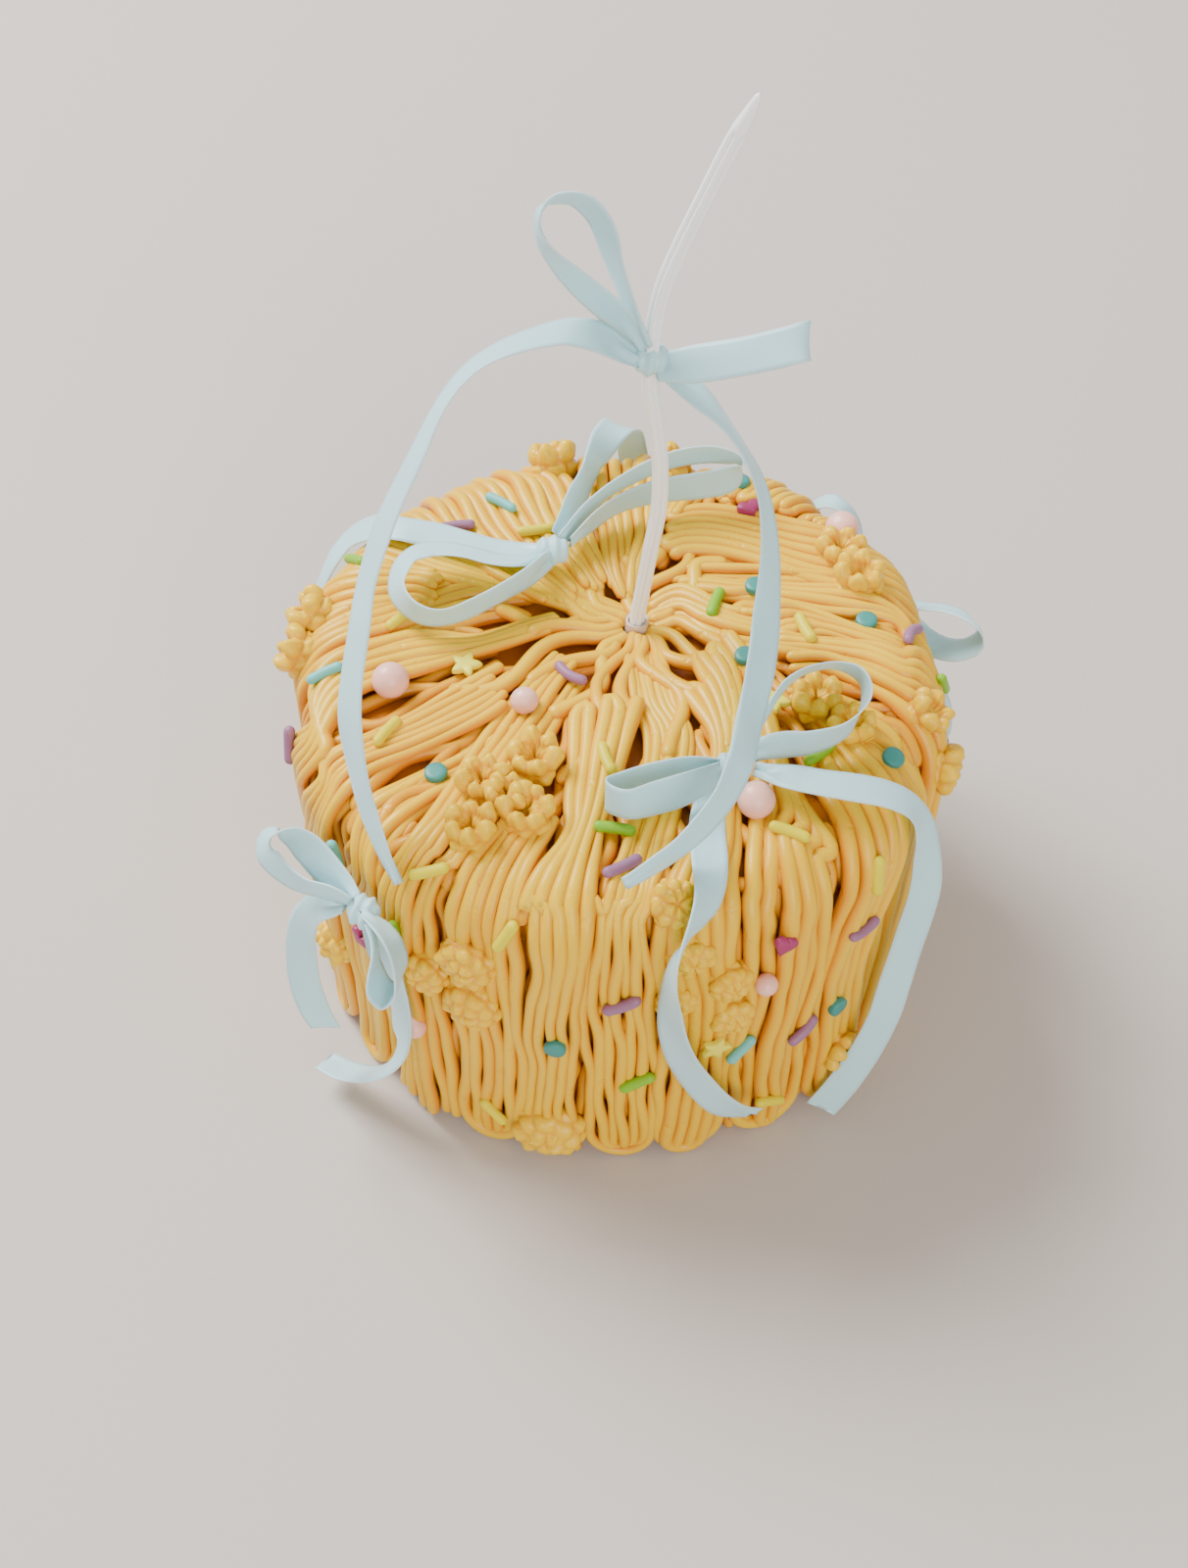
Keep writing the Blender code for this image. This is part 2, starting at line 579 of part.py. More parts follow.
SIDE_LOOP_F = (
    ((66.4, 40, 66.7), (-0.7, 0.4, 0.6), 0.6), ((68.6, 37, 71.7), (-0.5, 0.6, 0.7)),
    ((71.8, 33, 75.9), (-0.2, 0.6, 0.8)), ((75.5, 28.5, 80), (-0.1, 0.6, 0.8)),
    ((79.2, 24, 83.2), (0.2, 0.5, 0.8)), ((82.9, 21, 82.9), (0.6, 0.4, 0.7)),
    ((85, 19.6, 80.1), (1, 0, 0.1)), ((83.7, 20, 76.4), (0.8, -0.1, -0.5)),
    ((80.6, 22.5, 72.2), (0.6, -0.2, -0.8)), ((76.9, 27, 68.7), (0.3, -0.2, -0.9)),
    ((73.4, 31.5, 67.8), (0, -0.2, -1)), ((70.6, 36.5, 66.6), (0.1, -0.2, -1), 0.9),
    ((67.3, 40.4, 65.1), (0.1, -0.3, -0.9), 0.5),
)
LEFT_KNOT = Vector((-51.8, -60.2, 80.6))
LEFT_LOOP_U = (
    ((-53.9, -59, 82.4), (-0.4, -0.9, -0.1), 0.5), ((-57.8, -57.5, 82.2), (-0.4, -0.9, -0.2)),
    ((-63.1, -55, 81.4), (-0.5, -0.9, -0.2)), ((-68, -52, 81.7), (-0.6, -0.8, 0.1)),
    ((-71.8, -49, 84), (-0.6, -0.8, 0.3)), ((-72.3, -47, 86.5), (-0.8, -0.3, 0.5)),
    ((-70.1, -46, 88.8), (-0.3, 0.7, 0.7)), ((-67.2, -46, 87.7), (0.3, 1, 0)),
    ((-63.5, -48, 85.8), (0.3, 0.8, -0.5)), ((-59.8, -51, 83), (0.3, 0.8, -0.5)),
    ((-55.9, -54.5, 81.3), (0.6, 0.7, -0.5), 0.8), ((-53.6, -57.5, 81.1), (0.7, 0.6, -0.4), 0.45),
)
LEFT_LOOP_D = (
    ((-51.3, -62, 83.4), (0.4, 0.5, 0.8), 0.5), ((-47.6, -66, 83.7), (0.6, 0.4, 0.7)),
    ((-44.8, -69.5, 81.8), (0.9, 0, 0.5)), ((-43.6, -72, 76.7), (0.9, -0.3, -0.1)),
    ((-44.5, -73, 71.7), (0.6, -0.2, -0.8)), ((-47, -72.6, 68), (-0.1, 0, -1)),
    ((-49.2, -71.6, 70.4), (-0.8, 0.3, -0.6)), ((-49.6, -70, 74.5), (-0.9, 0.3, 0.1)),
    ((-49.2, -67.4, 78.1), (-0.9, 0.3, 0.2), 0.8), ((-50.6, -63.4, 81), (-0.9, 0.5, 0.2), 0.45),
)
CANDLE_TAIL_L = (
    ((1.8, 9.2, 168.1), (0.8, -0.4, 0.5), 0.6), ((-2.8, 6.8, 173.1), (0.7, -0.2, 0.7)),
    ((-7.4, 5, 176.1), (0.5, -0.1, 0.9)), ((-12.7, 3, 177.8), (0.1, 0.1, 1)),
    ((-20.5, -0.5, 177.7), (-0.2, 0.2, 1)), ((-27.6, -5, 175.8), (-0.5, 0.2, 0.8)),
    ((-33.3, -10, 171.3), (-0.8, 0.1, 0.7)), ((-38, -15, 164.5), (-0.8, -0.1, 0.6)),
    ((-42.1, -19, 157.1), (-0.8, -0.2, 0.5)), ((-45.1, -22.5, 150.4), (-0.8, -0.3, 0.5)),
    ((-48.8, -27, 140.8), (-0.8, -0.3, 0.5)), ((-50.4, -32, 134.7), (-0.8, -0.4, 0.5)),
    ((-51.9, -37, 126), (-0.8, -0.5, 0.4)), ((-52.5, -42, 117.5), (-0.7, -0.6, 0.3)),
    ((-51.7, -47, 107.4), (-0.8, -0.6, 0.2)), ((-49.9, -51, 100.6), (-0.8, -0.6, 0.2)),
    ((-46.8, -56, 94.6), (-0.8, -0.6, 0.1), 0.85), ((-44.1, -60, 89.8), (-0.8, -0.7, 0.1), 0.3),
)
CANDLE_TAIL_R = (
    ((10.9, 12.6, 159.5), (0.5, -0.2, 0.8), 0.6), ((16.1, 10.5, 156.6), (0.5, -0.1, 0.9)),
    ((20.9, 8, 153.1), (0.7, 0.1, 0.7)), ((25.1, 5, 148.4), (0.8, 0.1, 0.5)),
    ((28.1, 2, 142.4), (0.9, -0.1, 0.4)), ((29.9, -1, 136.1), (0.9, -0.3, 0.3)),
    ((31.4, -6, 125.9), (0.8, -0.5, 0.4)), ((30.6, -14, 116.7), (0.6, -0.6, 0.6)),
    ((29.2, -22, 113), (0.6, -0.4, 0.7)), ((27.5, -30, 109.5), (0.7, -0.2, 0.7)),
    ((25.1, -43.2, 112), (0.8, -0.1, 0.7)), ((23.2, -48.3, 110.5), (0.7, -0.5, 0.5)),
    ((20.6, -52.9, 108.6), (0.7, -0.6, 0.3)), ((17, -57.3, 106.4), (0.7, -0.7, 0.2)),
    ((12.5, -61.4, 103.8), (0.6, -0.8, 0)), ((8.4, -63.7, 101.6), (0.5, -0.9, -0.1), 0.9),
    ((3.8, -65.8, 99.6), (0.4, -0.9, -0.2), 0.6), ((1.3, -66.6, 98.6), (0.4, -0.9, -0.3), 0.3),
)
FRONT_TAIL_R = (
    ((30.9, -37.9, 99), (-0.2, 0.2, 1), 0.6), ((35.2, -40.1, 100.6), (-0.1, 0.2, 1)),
    ((41.6, -42.1, 101), (0, 0.1, 1)), ((48.2, -43.2, 100.4), (0.2, 0, 1)),
    ((55, -43.5, 98.4), (0.4, 0, 0.9)), ((60.5, -43.6, 94.6), (0.8, -0.1, 0.7)),
    ((64, -44, 88), (0.8, -0.5, 0.3)), ((65.4, -44.7, 80), (0.6, -0.8, 0.2)),
    ((65.8, -46.5, 71), (0.3, -0.9, 0.2)), ((64.9, -48.2, 61.5), (0.2, -1, 0.2)),
    ((63.7, -50.1, 52), (0.2, -1, 0.2)), ((62.1, -52.3, 42.5), (0.1, -1, 0.2)),
    ((60.4, -54.7, 33), (0.1, -1, 0.2)), ((57.2, -57.2, 21.5), (0, -1, 0.2)),
    ((53.2, -59.3, 12.5), (-0.1, -1, 0.2)), ((48.6, -60.8, 4), (-0.1, -1, 0.2)),
)
FRONT_TAIL_D = (
    ((20.3, -39.9, 96.4), (0.1, -0.1, 1), 0.6), ((18.8, -44.8, 96.1), (0.1, -0.1, 1), 0.9),
    ((18.1, -51.2, 96.2), (0.1, -0.1, 1)), ((18.3, -59.2, 96.4), (0.2, -0.3, 0.9)),
    ((18, -65.6, 94.8), (0.6, -0.3, 0.7)), ((16.3, -70.5, 92.8), (0.8, -0.6, 0.2)),
    ((13.4, -74.7, 89), (0.9, -0.4, -0.2)), ((11.4, -76.9, 83), (1, 0.1, -0.2)),
    ((10.9, -76.9, 72.9), (0.8, 0.5, 0)), ((12.1, -76.4, 60), (0.5, 0.8, 0.1)),
    ((15.2, -75.6, 45.9), (0.2, 1, 0.1)), ((20.1, -74.4, 33.5), (0, 1, 0.1)),
    ((25.6, -72.7, 24.1), (-0.1, 1, 0.2)), ((31.7, -70.5, 18.6), (-0.1, 1, 0.3), 0.7),
)
REAR_TAIL_L = (
    ((-18.8, 29, 97.2), (-0.3, 0.1, 0.9), 0.7), ((-23.1, 29.6, 96.4), (-0.1, 0.1, 1)),
    ((-28.4, 30.7, 96.2), (0, 0.1, 1)), ((-34.6, 32.7, 96.3), (0, 0, 1)),
    ((-41.6, 35.2, 96.6), (0, -0.1, 1)), ((-49.3, 37, 97), (-0.1, 0, 1)),
    ((-55.4, 39.4, 95), (-0.6, 0, 0.8)), ((-61.7, 43, 88.5), (-0.7, 0, 0.7)),
    ((-66.4, 41.5, 83.7), (-0.8, -0.1, 0.6)), ((-69.7, 39.5, 78.2), (-0.9, -0.1, 0.5)),
    ((-71.7, 37.5, 72.9), (-0.9, -0.2, 0.4)), ((-73.6, 35.5, 67.6), (-0.9, -0.2, 0.4), 0.9),
)
REAR_TAIL_B = (
    ((-11.9, 36.4, 98.8), (0.8, -0.3, 0.5), 0.7), ((-9.4, 43.9, 98.8), (0.9, -0.3, 0.4)),
    ((-7.2, 49.4, 99), (0.9, -0.3, 0.3)), ((-5.5, 55.1, 99), (0.9, -0.4, 0.3)),
    ((-4, 58.5, 100.7), (0.8, -0.4, 0.5)), ((-2.1, 63.5, 101.2), (0.5, -0.3, 0.8)),
    ((0.6, 68.4, 100.8), (0.3, 0.2, 0.9)), ((3, 73, 96.1), (0.2, 0.7, 0.7)),
    ((4.4, 76.5, 88.1), (0.2, 0.9, 0.2)), ((5.1, 79, 80.1), (0.1, 1, 0.1)),
    ((5.2, 80.4, 71.7), (0.1, 1, 0), 0.9),
)
SIDE_TAIL_F = (
    ((69.2, 35, 65.2), (0.5, 0.1, 0.8), 0.7), ((72.2, 29, 64), (0.6, 0.1, 0.8)),
    ((75.7, 24, 62.3), (0.6, 0.1, 0.8)), ((78.1, 19.5, 60.1), (0.8, -0.2, 0.6)),
    ((79.2, 17, 55.8), (0.8, -0.5, 0.2)), ((79.2, 16.5, 48.5), (0.7, -0.7, 0)),
    ((78.7, 17.5, 39.4), (0.7, -0.7, -0.1)), ((78.4, 19.5, 29.8), (0.7, -0.7, -0.2)),
    ((78.2, 22, 20.7), (0.8, -0.6, -0.2), 0.9),
)
SIDE_TAIL_B = (
    ((69, 44.6, 59.5), (0.8, 0.6, 0.2), 0.7), ((69, 47.2, 53), (0.8, 0.6, 0.1)),
    ((67.6, 49.4, 45), (0.8, 0.6, 0)), ((66.2, 51.2, 37), (0.7, 0.7, 0)),
    ((65, 52.4, 29), (0.7, 0.7, 0)), ((64.2, 53.4, 17), (0.7, 0.7, 0), 0.9),
)
LEFT_TAIL_O = (
    ((-57.4, -56, 77.4), (-0.5, 0.2, 0.9), 0.7), ((-62, -54.5, 74.4), (-0.8, -0.1, 0.6)),
    ((-65.9, -53, 67.2), (-0.7, -0.7, 0.2)), ((-68, -52.6, 56.9), (-0.4, -0.9, 0)),
    ((-68.9, -52.6, 44.6), (-0.2, -1, 0)), ((-67.8, -52.4, 33), (-0.1, -1, 0)),
    ((-66.1, -52, 24.3), (-0.1, -1, -0.1), 0.95),
)
LEFT_TAIL_D = (
    ((-50.8, -59.8, 73), (-0.5, -0.8, 0.3), 0.6), ((-49, -61, 65.5), (-0.5, -0.8, 0.3)),
    ((-47.6, -61.6, 55.9), (-0.6, -0.7, 0.3)), ((-47, -61.8, 45.9), (-0.8, -0.7, 0)),
    ((-47.3, -61.8, 36.1), (-0.8, -0.5, 0.1)), ((-48.6, -61.4, 28.1), (-0.7, -0.1, 0.7)),
    ((-51.7, -60.4, 21.4), (-0.4, 0.2, 0.9)), ((-56.1, -58, 14.8), (-0.1, 0.3, 0.9)),
    ((-62.8, -53.6, 8.3), (0, 0.3, 0.9)), ((-68.5, -49.6, 6.1), (0, 0.3, 0.9), 0.85),
)


def knot(col, name, centre, squash):
    return sphere(col, name, centre, 3.9, "ribbon", 7, 5, squash)


def candle_wrap(col, name):
    """The ribbon wound round the candle: a short sleeve, clear of the wax."""
    at = Vector((6.2, 12.0, 164.8))
    lean = Vector((0.0, -0.05, 1.0)).normalized()
    side = Vector((1.0, 0.0, 0.0))
    front = lean.cross(side)
    bm = bmesh.new()
    rings = []
    inner = CANDLE_R + GAP + 0.5
    for r, h in ((inner, -3.2), (inner + 1.5, -2.6), (inner + 1.5, 2.6), (inner, 3.2)):
        ring = []
        for i in range(10):
            a = 2 * math.pi * i / 10
            ring.append(bm.verts.new(at + side * (r * math.cos(a)) + front * (r * math.sin(a)) + lean * h))
        rings.append(ring)
    for j in range(4):
        up, low = rings[j], rings[(j + 1) % 4]
        for i in range(10):
            k = (i + 1) % 10
            bm.faces.new((up[i], up[k], low[k], low[i]))
    return mesh_object(name, bm, col, "ribbon")


def build_bows(parts, extras):
    loop(extras, "loop_a", CANDLE_LOOP_L)
    loop(extras, "loop_b", CANDLE_LOOP_R)
    wrap = candle_wrap(parts, "bow_candle")
    union(wrap, extras)
    cut(wrap, cylinder(extras, "wax_gap", Vector((6.2, 12.0, 0.0)), CANDLE_R + GAP + 0.35, 155.0, 173.0))
    keep_largest(wrap)
    bows = (
        ("bow_front", FRONT_KNOT, (1.0, 0.8, 0.85), FRONT_LOOP_L, FRONT_LOOP_R),
        ("bow_rear", REAR_KNOT, (1.0, 0.8, 0.85), REAR_LOOP_L, REAR_LOOP_R),
        ("bow_right", SIDE_KNOT, (0.8, 0.9, 1.0), SIDE_LOOP_B, SIDE_LOOP_F),
        ("bow_left", LEFT_KNOT, (0.9, 0.8, 1.0), LEFT_LOOP_U, LEFT_LOOP_D),
    )
    for name, centre, squash, one, two in bows:
        tied = knot(parts, name, centre, squash)
        loop(extras, "loop_a", one)
        loop(extras, "loop_b", two)
        union(tied, extras)
        keep_largest(tied)
    tails = (
        ("tail_candle_left", CANDLE_TAIL_L), ("tail_candle_right", CANDLE_TAIL_R),
        ("tail_front_right", FRONT_TAIL_R), ("tail_front_down", FRONT_TAIL_D),
        ("tail_rear_left", REAR_TAIL_L), ("tail_rear_back", REAR_TAIL_B),
        ("tail_right_front", SIDE_TAIL_F), ("tail_right_back", SIDE_TAIL_B),
        ("tail_left_outer", LEFT_TAIL_O), ("tail_left_down", LEFT_TAIL_D),
    )
    for name, route in tails:
        strip(parts, name, cross_sections(route), "ribbon")


def main():
    clear_scene()
    parts = new_collection("celebration_cake")
    extras = new_collection("cutters")
    extras.hide_render = True
    build_cake(parts, extras)
    build_candle(parts)
    build_holder(parts)
    for i, (az, s, size) in enumerate(PEARLS):
        sphere(parts, f"pearl_{i + 1}", pearl_centre(az, s, size), size / 2, "pearl")
    build_bows(parts, extras)
    total = 0
    for ob in parts.objects:
        faces = sum(len(p.vertices) - 2 for p in ob.data.polygons)
        total += faces
        print(ob.name, faces, "triangles")
    print("all", total)


main()
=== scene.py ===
import math
import bpy
import numpy as np
from mathutils import Matrix, Vector
from mathutils.bvhtree import BVHTree


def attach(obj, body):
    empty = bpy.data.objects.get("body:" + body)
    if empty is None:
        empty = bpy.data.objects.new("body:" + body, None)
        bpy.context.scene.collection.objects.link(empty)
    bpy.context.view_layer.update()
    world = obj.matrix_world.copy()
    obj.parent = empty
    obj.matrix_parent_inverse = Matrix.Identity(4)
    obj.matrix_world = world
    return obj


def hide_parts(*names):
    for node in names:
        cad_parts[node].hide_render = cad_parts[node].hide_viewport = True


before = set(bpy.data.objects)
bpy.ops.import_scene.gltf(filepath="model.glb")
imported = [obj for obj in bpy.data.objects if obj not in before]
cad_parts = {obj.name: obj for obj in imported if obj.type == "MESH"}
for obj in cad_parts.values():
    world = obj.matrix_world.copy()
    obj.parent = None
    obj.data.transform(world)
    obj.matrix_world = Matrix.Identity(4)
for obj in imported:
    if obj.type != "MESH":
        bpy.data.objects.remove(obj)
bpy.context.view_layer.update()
scene = bpy.context.scene
rng = np.random.default_rng(7)
mm = 0.001

# directions used by the ribbons and lamps: to the viewer, right and up
toView = np.array([0.0, -0.64, 0.77])
right = np.array([1.0, 0.0, 0.0])
up = np.array([0.0, 0.0, 1.0])


# shader helpers
class Sock:
    # an output socket that shader maths can be written with

    def __init__(self, tree, socket):
        self.tree = tree
        self.socket = socket

    def math(self, operation, other=None, clamp=False):
        node = self.tree.nodes.new("ShaderNodeMath")
        node.operation = operation
        node.use_clamp = clamp
        for i, value in enumerate((self, other)):
            if isinstance(value, Sock):
                self.tree.links.new(value.socket, node.inputs[i])
            elif value is not None:
                node.inputs[i].default_value = value
        return Sock(self.tree, node.outputs[0])

    def __add__(self, other):
        return self.math("ADD", other)

    def __radd__(self, other):
        return self.math("ADD", other)

    def __mul__(self, other):
        return self.math("MULTIPLY", other)

    def __rmul__(self, other):
        return self.math("MULTIPLY", other)

    def __sub__(self, other):
        return self.math("SUBTRACT", other)

    def __rsub__(self, other):
        return self.math("MULTIPLY", -1.0).math("ADD", other)

    def clamped(self):
        return self.math("ADD", 0.0, clamp=True)


class Look:
    # one material: its node tree, with a method that adds any node

    def __init__(self, name):
        self.material = bpy.data.materials.new(name)
        self.material.use_nodes = True
        self.tree = self.material.node_tree
        self.shader = self.tree.nodes["Principled BSDF"]
        self.output = self.tree.nodes["Material Output"]

    def node(self, kind, settings=None, inputs=None, output=0):
        node = self.tree.nodes.new(kind)
        for key, value in (settings or {}).items():
            setattr(node, key, value)
        for key, value in (inputs or {}).items():
            if isinstance(value, Sock):
                self.tree.links.new(value.socket, node.inputs[key])
            else:
                node.inputs[key].default_value = value
        return Sock(self.tree, node.outputs[output])

    def coords(self):
        return self.node("ShaderNodeTexCoord", output="Object")

    def noise(self, vector, scale, detail=3.0, roughness=0.5):
        inputs = {"Vector": vector, "Scale": scale, "Detail": detail, "Roughness": roughness}
        return self.node("ShaderNodeTexNoise", None, inputs)

    def mixColour(self, factor, one, two):
        node = self.tree.nodes.new("ShaderNodeMix")
        node.data_type = "RGBA"
        for index, value in ((0, factor), (6, one), (7, two)):
            if isinstance(value, Sock):
                self.tree.links.new(value.socket, node.inputs[index])
            elif index == 0:
                node.inputs[0].default_value = value
            else:
                node.inputs[index].default_value = (*value, 1.0)
        return Sock(self.tree, node.outputs[2])

    def attribute(self, name, output="Fac"):
        return self.node("ShaderNodeAttribute", {"attribute_name": name}, output=output)

    def set(self, **values):
        for key, value in values.items():
            socket = self.shader.inputs[key.replace("_", " ")]
            if isinstance(value, Sock):
                self.tree.links.new(value.socket, socket)
            else:
                socket.default_value = value

    def bump(self, height, strength, distance):
        normal = self.node("ShaderNodeBump", None,
                           {"Height": height, "Strength": strength, "Distance": distance})
        self.set(Normal=normal)


# mesh helpers, all in millimetres until the mesh is written
def makeObject(name, verts, quads, tris, uv=None, **values):
    # write whole arrays into one mesh: quads first, then triangles
    verts = np.asarray(verts, float) * mm
    quads = np.asarray(quads, np.int64).reshape(-1, 4)
    tris = np.asarray(tris, np.int64).reshape(-1, 3)
    corners = np.concatenate([quads.ravel(), tris.ravel()])
    starts = np.concatenate([np.arange(len(quads)) * 4, len(quads) * 4 + np.arange(len(tris)) * 3])
    mesh = bpy.data.meshes.new(name)
    mesh.vertices.add(len(verts))
    mesh.vertices.foreach_set("co", verts.ravel())
    mesh.loops.add(len(corners))
    mesh.loops.foreach_set("vertex_index", corners.astype(np.int32))
    mesh.polygons.add(len(starts))
    mesh.polygons.foreach_set("loop_start", starts.astype(np.int32))
    mesh.polygons.foreach_set("use_smooth", np.ones(len(starts), bool))
    if uv is not None:
        layer = mesh.uv_layers.new(name="flat")
        layer.data.foreach_set("uv", np.asarray(uv, float)[corners].ravel())
    for key, value in values.items():
        attr = mesh.attributes.new(key, "FLOAT", "POINT")
        attr.data.foreach_set("value", np.asarray(value, np.float32).ravel())
    mesh.update(calc_edges=True)
    mesh.validate()
    obj = bpy.data.objects.new(name, mesh)
    scene.collection.objects.link(obj)
    return obj


def own(obj, node):
    # the piece stands for this node of the solids and moves with the cake
    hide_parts(node)
    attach(obj, "root")
    return obj


def tubeFaces(rings, sides):
    # quads round a tube and triangles to a pole at each end; poles come last
    i = np.arange(rings - 1)[:, None] * sides
    j = np.arange(sides)[None, :]
    k = (j + 1) % sides
    quads = np.stack([i + j, i + k, i + sides + k, i + sides + j], -1).reshape(-1, 4)
    j = np.arange(sides)
    k = (j + 1) % sides
    first = rings * sides
    last = (rings - 1) * sides
    head = np.stack([np.full(sides, first), k, j], -1)
    tail = np.stack([np.full(sides, first + 1), last + j, last + k], -1)
    return quads, np.concatenate([head, tail])


def capped(grid):
    # the points of a grid in one list, then a pole in the middle of its two end rings
    return np.concatenate([grid.reshape(-1, 3), grid[:1].mean(1), grid[-1:].mean(1)])


def makeMany(name, shapes, rings, sides, **values):
    # several capped grids of the same layout in one mesh
    quads, tris = tubeFaces(rings, sides)
    offset = np.arange(len(shapes))[:, None, None] * len(shapes[0])
    return makeObject(name, np.concatenate(shapes), quads + offset, tris + offset, **values)


def circle(sides):
    # angles of the corners of a ring: 2 pi i / sides
    return 2 * np.pi * np.arange(sides) / sides


def unit(v):
    # each vector divided by its length
    return v / np.maximum(np.linalg.norm(v, axis=-1, keepdims=True), 1e-9)


def tubes(name, path, normal, radius, sides, flat=1.0, values=None):
    # many tubes at once: at each station of a path, centre + radius times
    # (cos a along the side + flat sin a along the normal), closed by rounded ends.
    # path and normal are count x stations x 3, radius is count x stations
    count, stations, _ = path.shape
    tangent = unit(np.gradient(path, axis=1))
    side = unit(np.cross(tangent, normal))
    lift = unit(np.cross(side, tangent))
    # rounded ends: a few extra rings that shrink along a quarter circle
    turn = np.radians([80.0, 55.0, 28.0])
    extra = len(turn)
    headRad = radius[:, :1] * np.cos(turn)
    tailRad = radius[:, -1:] * np.cos(turn[::-1])
    headPos = path[:, :1] - tangent[:, :1] * (radius[:, :1] * np.sin(turn))[..., None]
    tailPos = path[:, -1:] + tangent[:, -1:] * (radius[:, -1:] * np.sin(turn[::-1]))[..., None]
    fullPath = np.concatenate([headPos, path, tailPos], 1)
    fullRad = np.concatenate([headRad, radius, tailRad], 1)
    side, lift = [np.concatenate([np.repeat(v[:, :1], extra, 1), v,
                                  np.repeat(v[:, -1:], extra, 1)], 1) for v in (side, lift)]
    rings = stations + 2 * extra
    a = circle(sides)
    body = (fullPath[:, :, None]
            + side[:, :, None] * (fullRad[..., None] * np.cos(a))[..., None]
            + lift[:, :, None] * (fullRad[..., None] * flat * np.sin(a))[..., None])
    poleA = path[:, 0] - tangent[:, 0] * radius[:, :1]
    poleB = path[:, -1] + tangent[:, -1] * radius[:, -1:]
    verts = np.concatenate([body.reshape(count, -1, 3), poleA[:, None], poleB[:, None]], 1)
    quads, tris = tubeFaces(rings, sides)
    step = rings * sides + 2
    offset = np.arange(count)[:, None, None] * step
    tone = np.repeat(np.zeros(count) if values is None else values, step)
    # painted light per vertex: sin a, 1 on the top of each tube and 0 on its sides and underside,
    # so the cream is painted lighter on top and painted shade falls under and between the strands;
    # the poles sit at 0.3
    polePaintedLight = [0.3, 0.3]
    ridge = np.tile(np.append(np.tile(np.clip(np.sin(a), 0, 1), rings), polePaintedLight), count)
    return makeObject(name, verts.reshape(-1, 3), quads + offset, tris + offset,
                      tone=tone, ridge=ridge)


def evenly(points, samples, axes=2):
    # straight resampling at even steps along the length over the first axes columns
    steps = np.linalg.norm(np.diff(points[:, :axes], axis=0), axis=1)
    run = np.concatenate([[0], np.cumsum(steps)])
    at = np.linspace(0, run[-1], samples)
    return np.stack([np.interp(at, run, column) for column in points.T], 1), run[-1]


def splinePoints(points, samples):
    # catmull-Rom through every point, sampled evenly along its length
    stepsBetween = 24
    p = np.asarray(points, float)
    ext = np.concatenate([2 * p[:1] - p[1:2], p, 2 * p[-1:] - p[-2:-1]])
    t = np.linspace(0, 1, stepsBetween, endpoint=False)[:, None]
    a, b, c, d = ext[:-3, None], ext[1:-2, None], ext[2:-1, None], ext[3:, None]
    dense = 0.5 * (2 * b + (c - a) * t + (2 * a - 5 * b + 4 * c - d) * t ** 2
                   + (3 * b - a - 3 * c + d) * t ** 3)
    dense = np.concatenate([dense.reshape(-1, p.shape[1]), p[-1:]])
    return evenly(dense, samples, 3)


# the cake's skin, the same outline as the solid's
skinSet = {"side": 72.5, "foot": 71.5, "crown": 93.0, "shoulder": 13.0,
           "hub": (4.8, 13.0), "dip": 3.2, "dipRun": 16.0, "roundFrom": 60.0,
           "corner": 1.4, "cornerAz": 47.0}
flatRun = skinSet["side"] - skinSet["shoulder"]
arcRun = skinSet["shoulder"] * math.pi / 2
wallTop = skinSet["crown"] - skinSet["shoulder"]
skinRun = flatRun + arcRun + wallTop


def skin(az, s, lift=0.0):
    # point and outward direction: a dished disc, a quarter-circle shoulder, then a
    # wall, with the radius eased out by a small cosine of four times the azimuth
    az, s, lift = np.broadcast_arrays(az, s, lift)
    turn = np.clip((s - flatRun) / skinSet["shoulder"], 0, math.pi / 2)
    down = np.clip(s - flatRun - arcRun, 0, None)
    r = np.where(s < flatRun, s, flatRun + skinSet["shoulder"] * np.sin(turn))
    r = r - (skinSet["side"] - skinSet["foot"]) * down / wallTop
    dish = skinSet["dip"] * np.exp(-(np.minimum(s, flatRun) / skinSet["dipRun"]) ** 2)
    fall = skinSet["shoulder"] * (1 - np.cos(turn)) + down
    z = skinSet["crown"] - np.where(s < flatRun, dish, fall)
    nr, nz = np.sin(turn), np.cos(turn)
    out = np.clip(r / skinSet["roundFrom"], 0, 1)
    out = out * out * (3 - 2 * out)
    corner = skinSet["corner"] * np.cos(4 * (az - math.radians(skinSet["cornerAz"]))) * out
    r = r + corner + lift * nr
    x = skinSet["hub"][0] * (1 - out) + r * np.sin(az)
    y = skinSet["hub"][1] * (1 - out) - r * np.cos(az)
    point = np.stack([x, y, z + lift * nz], -1)
    return point, unit(np.stack([nr * np.sin(az), -nr * np.cos(az), nz], -1))


def placed(az, s, turn):
    # base point with outward, along and across directions at a place on the skin
    az = math.radians(az)
    base, n = skin(az, s)
    down = unit(skin(az, s + 1.0)[0] - skin(az, s - 1.0)[0])
    down = unit(down - n * (down @ n))
    a = math.radians(turn)
    along = down * math.cos(a) + np.cross(n, down) * math.sin(a)
    return base, n, along, np.cross(n, along)


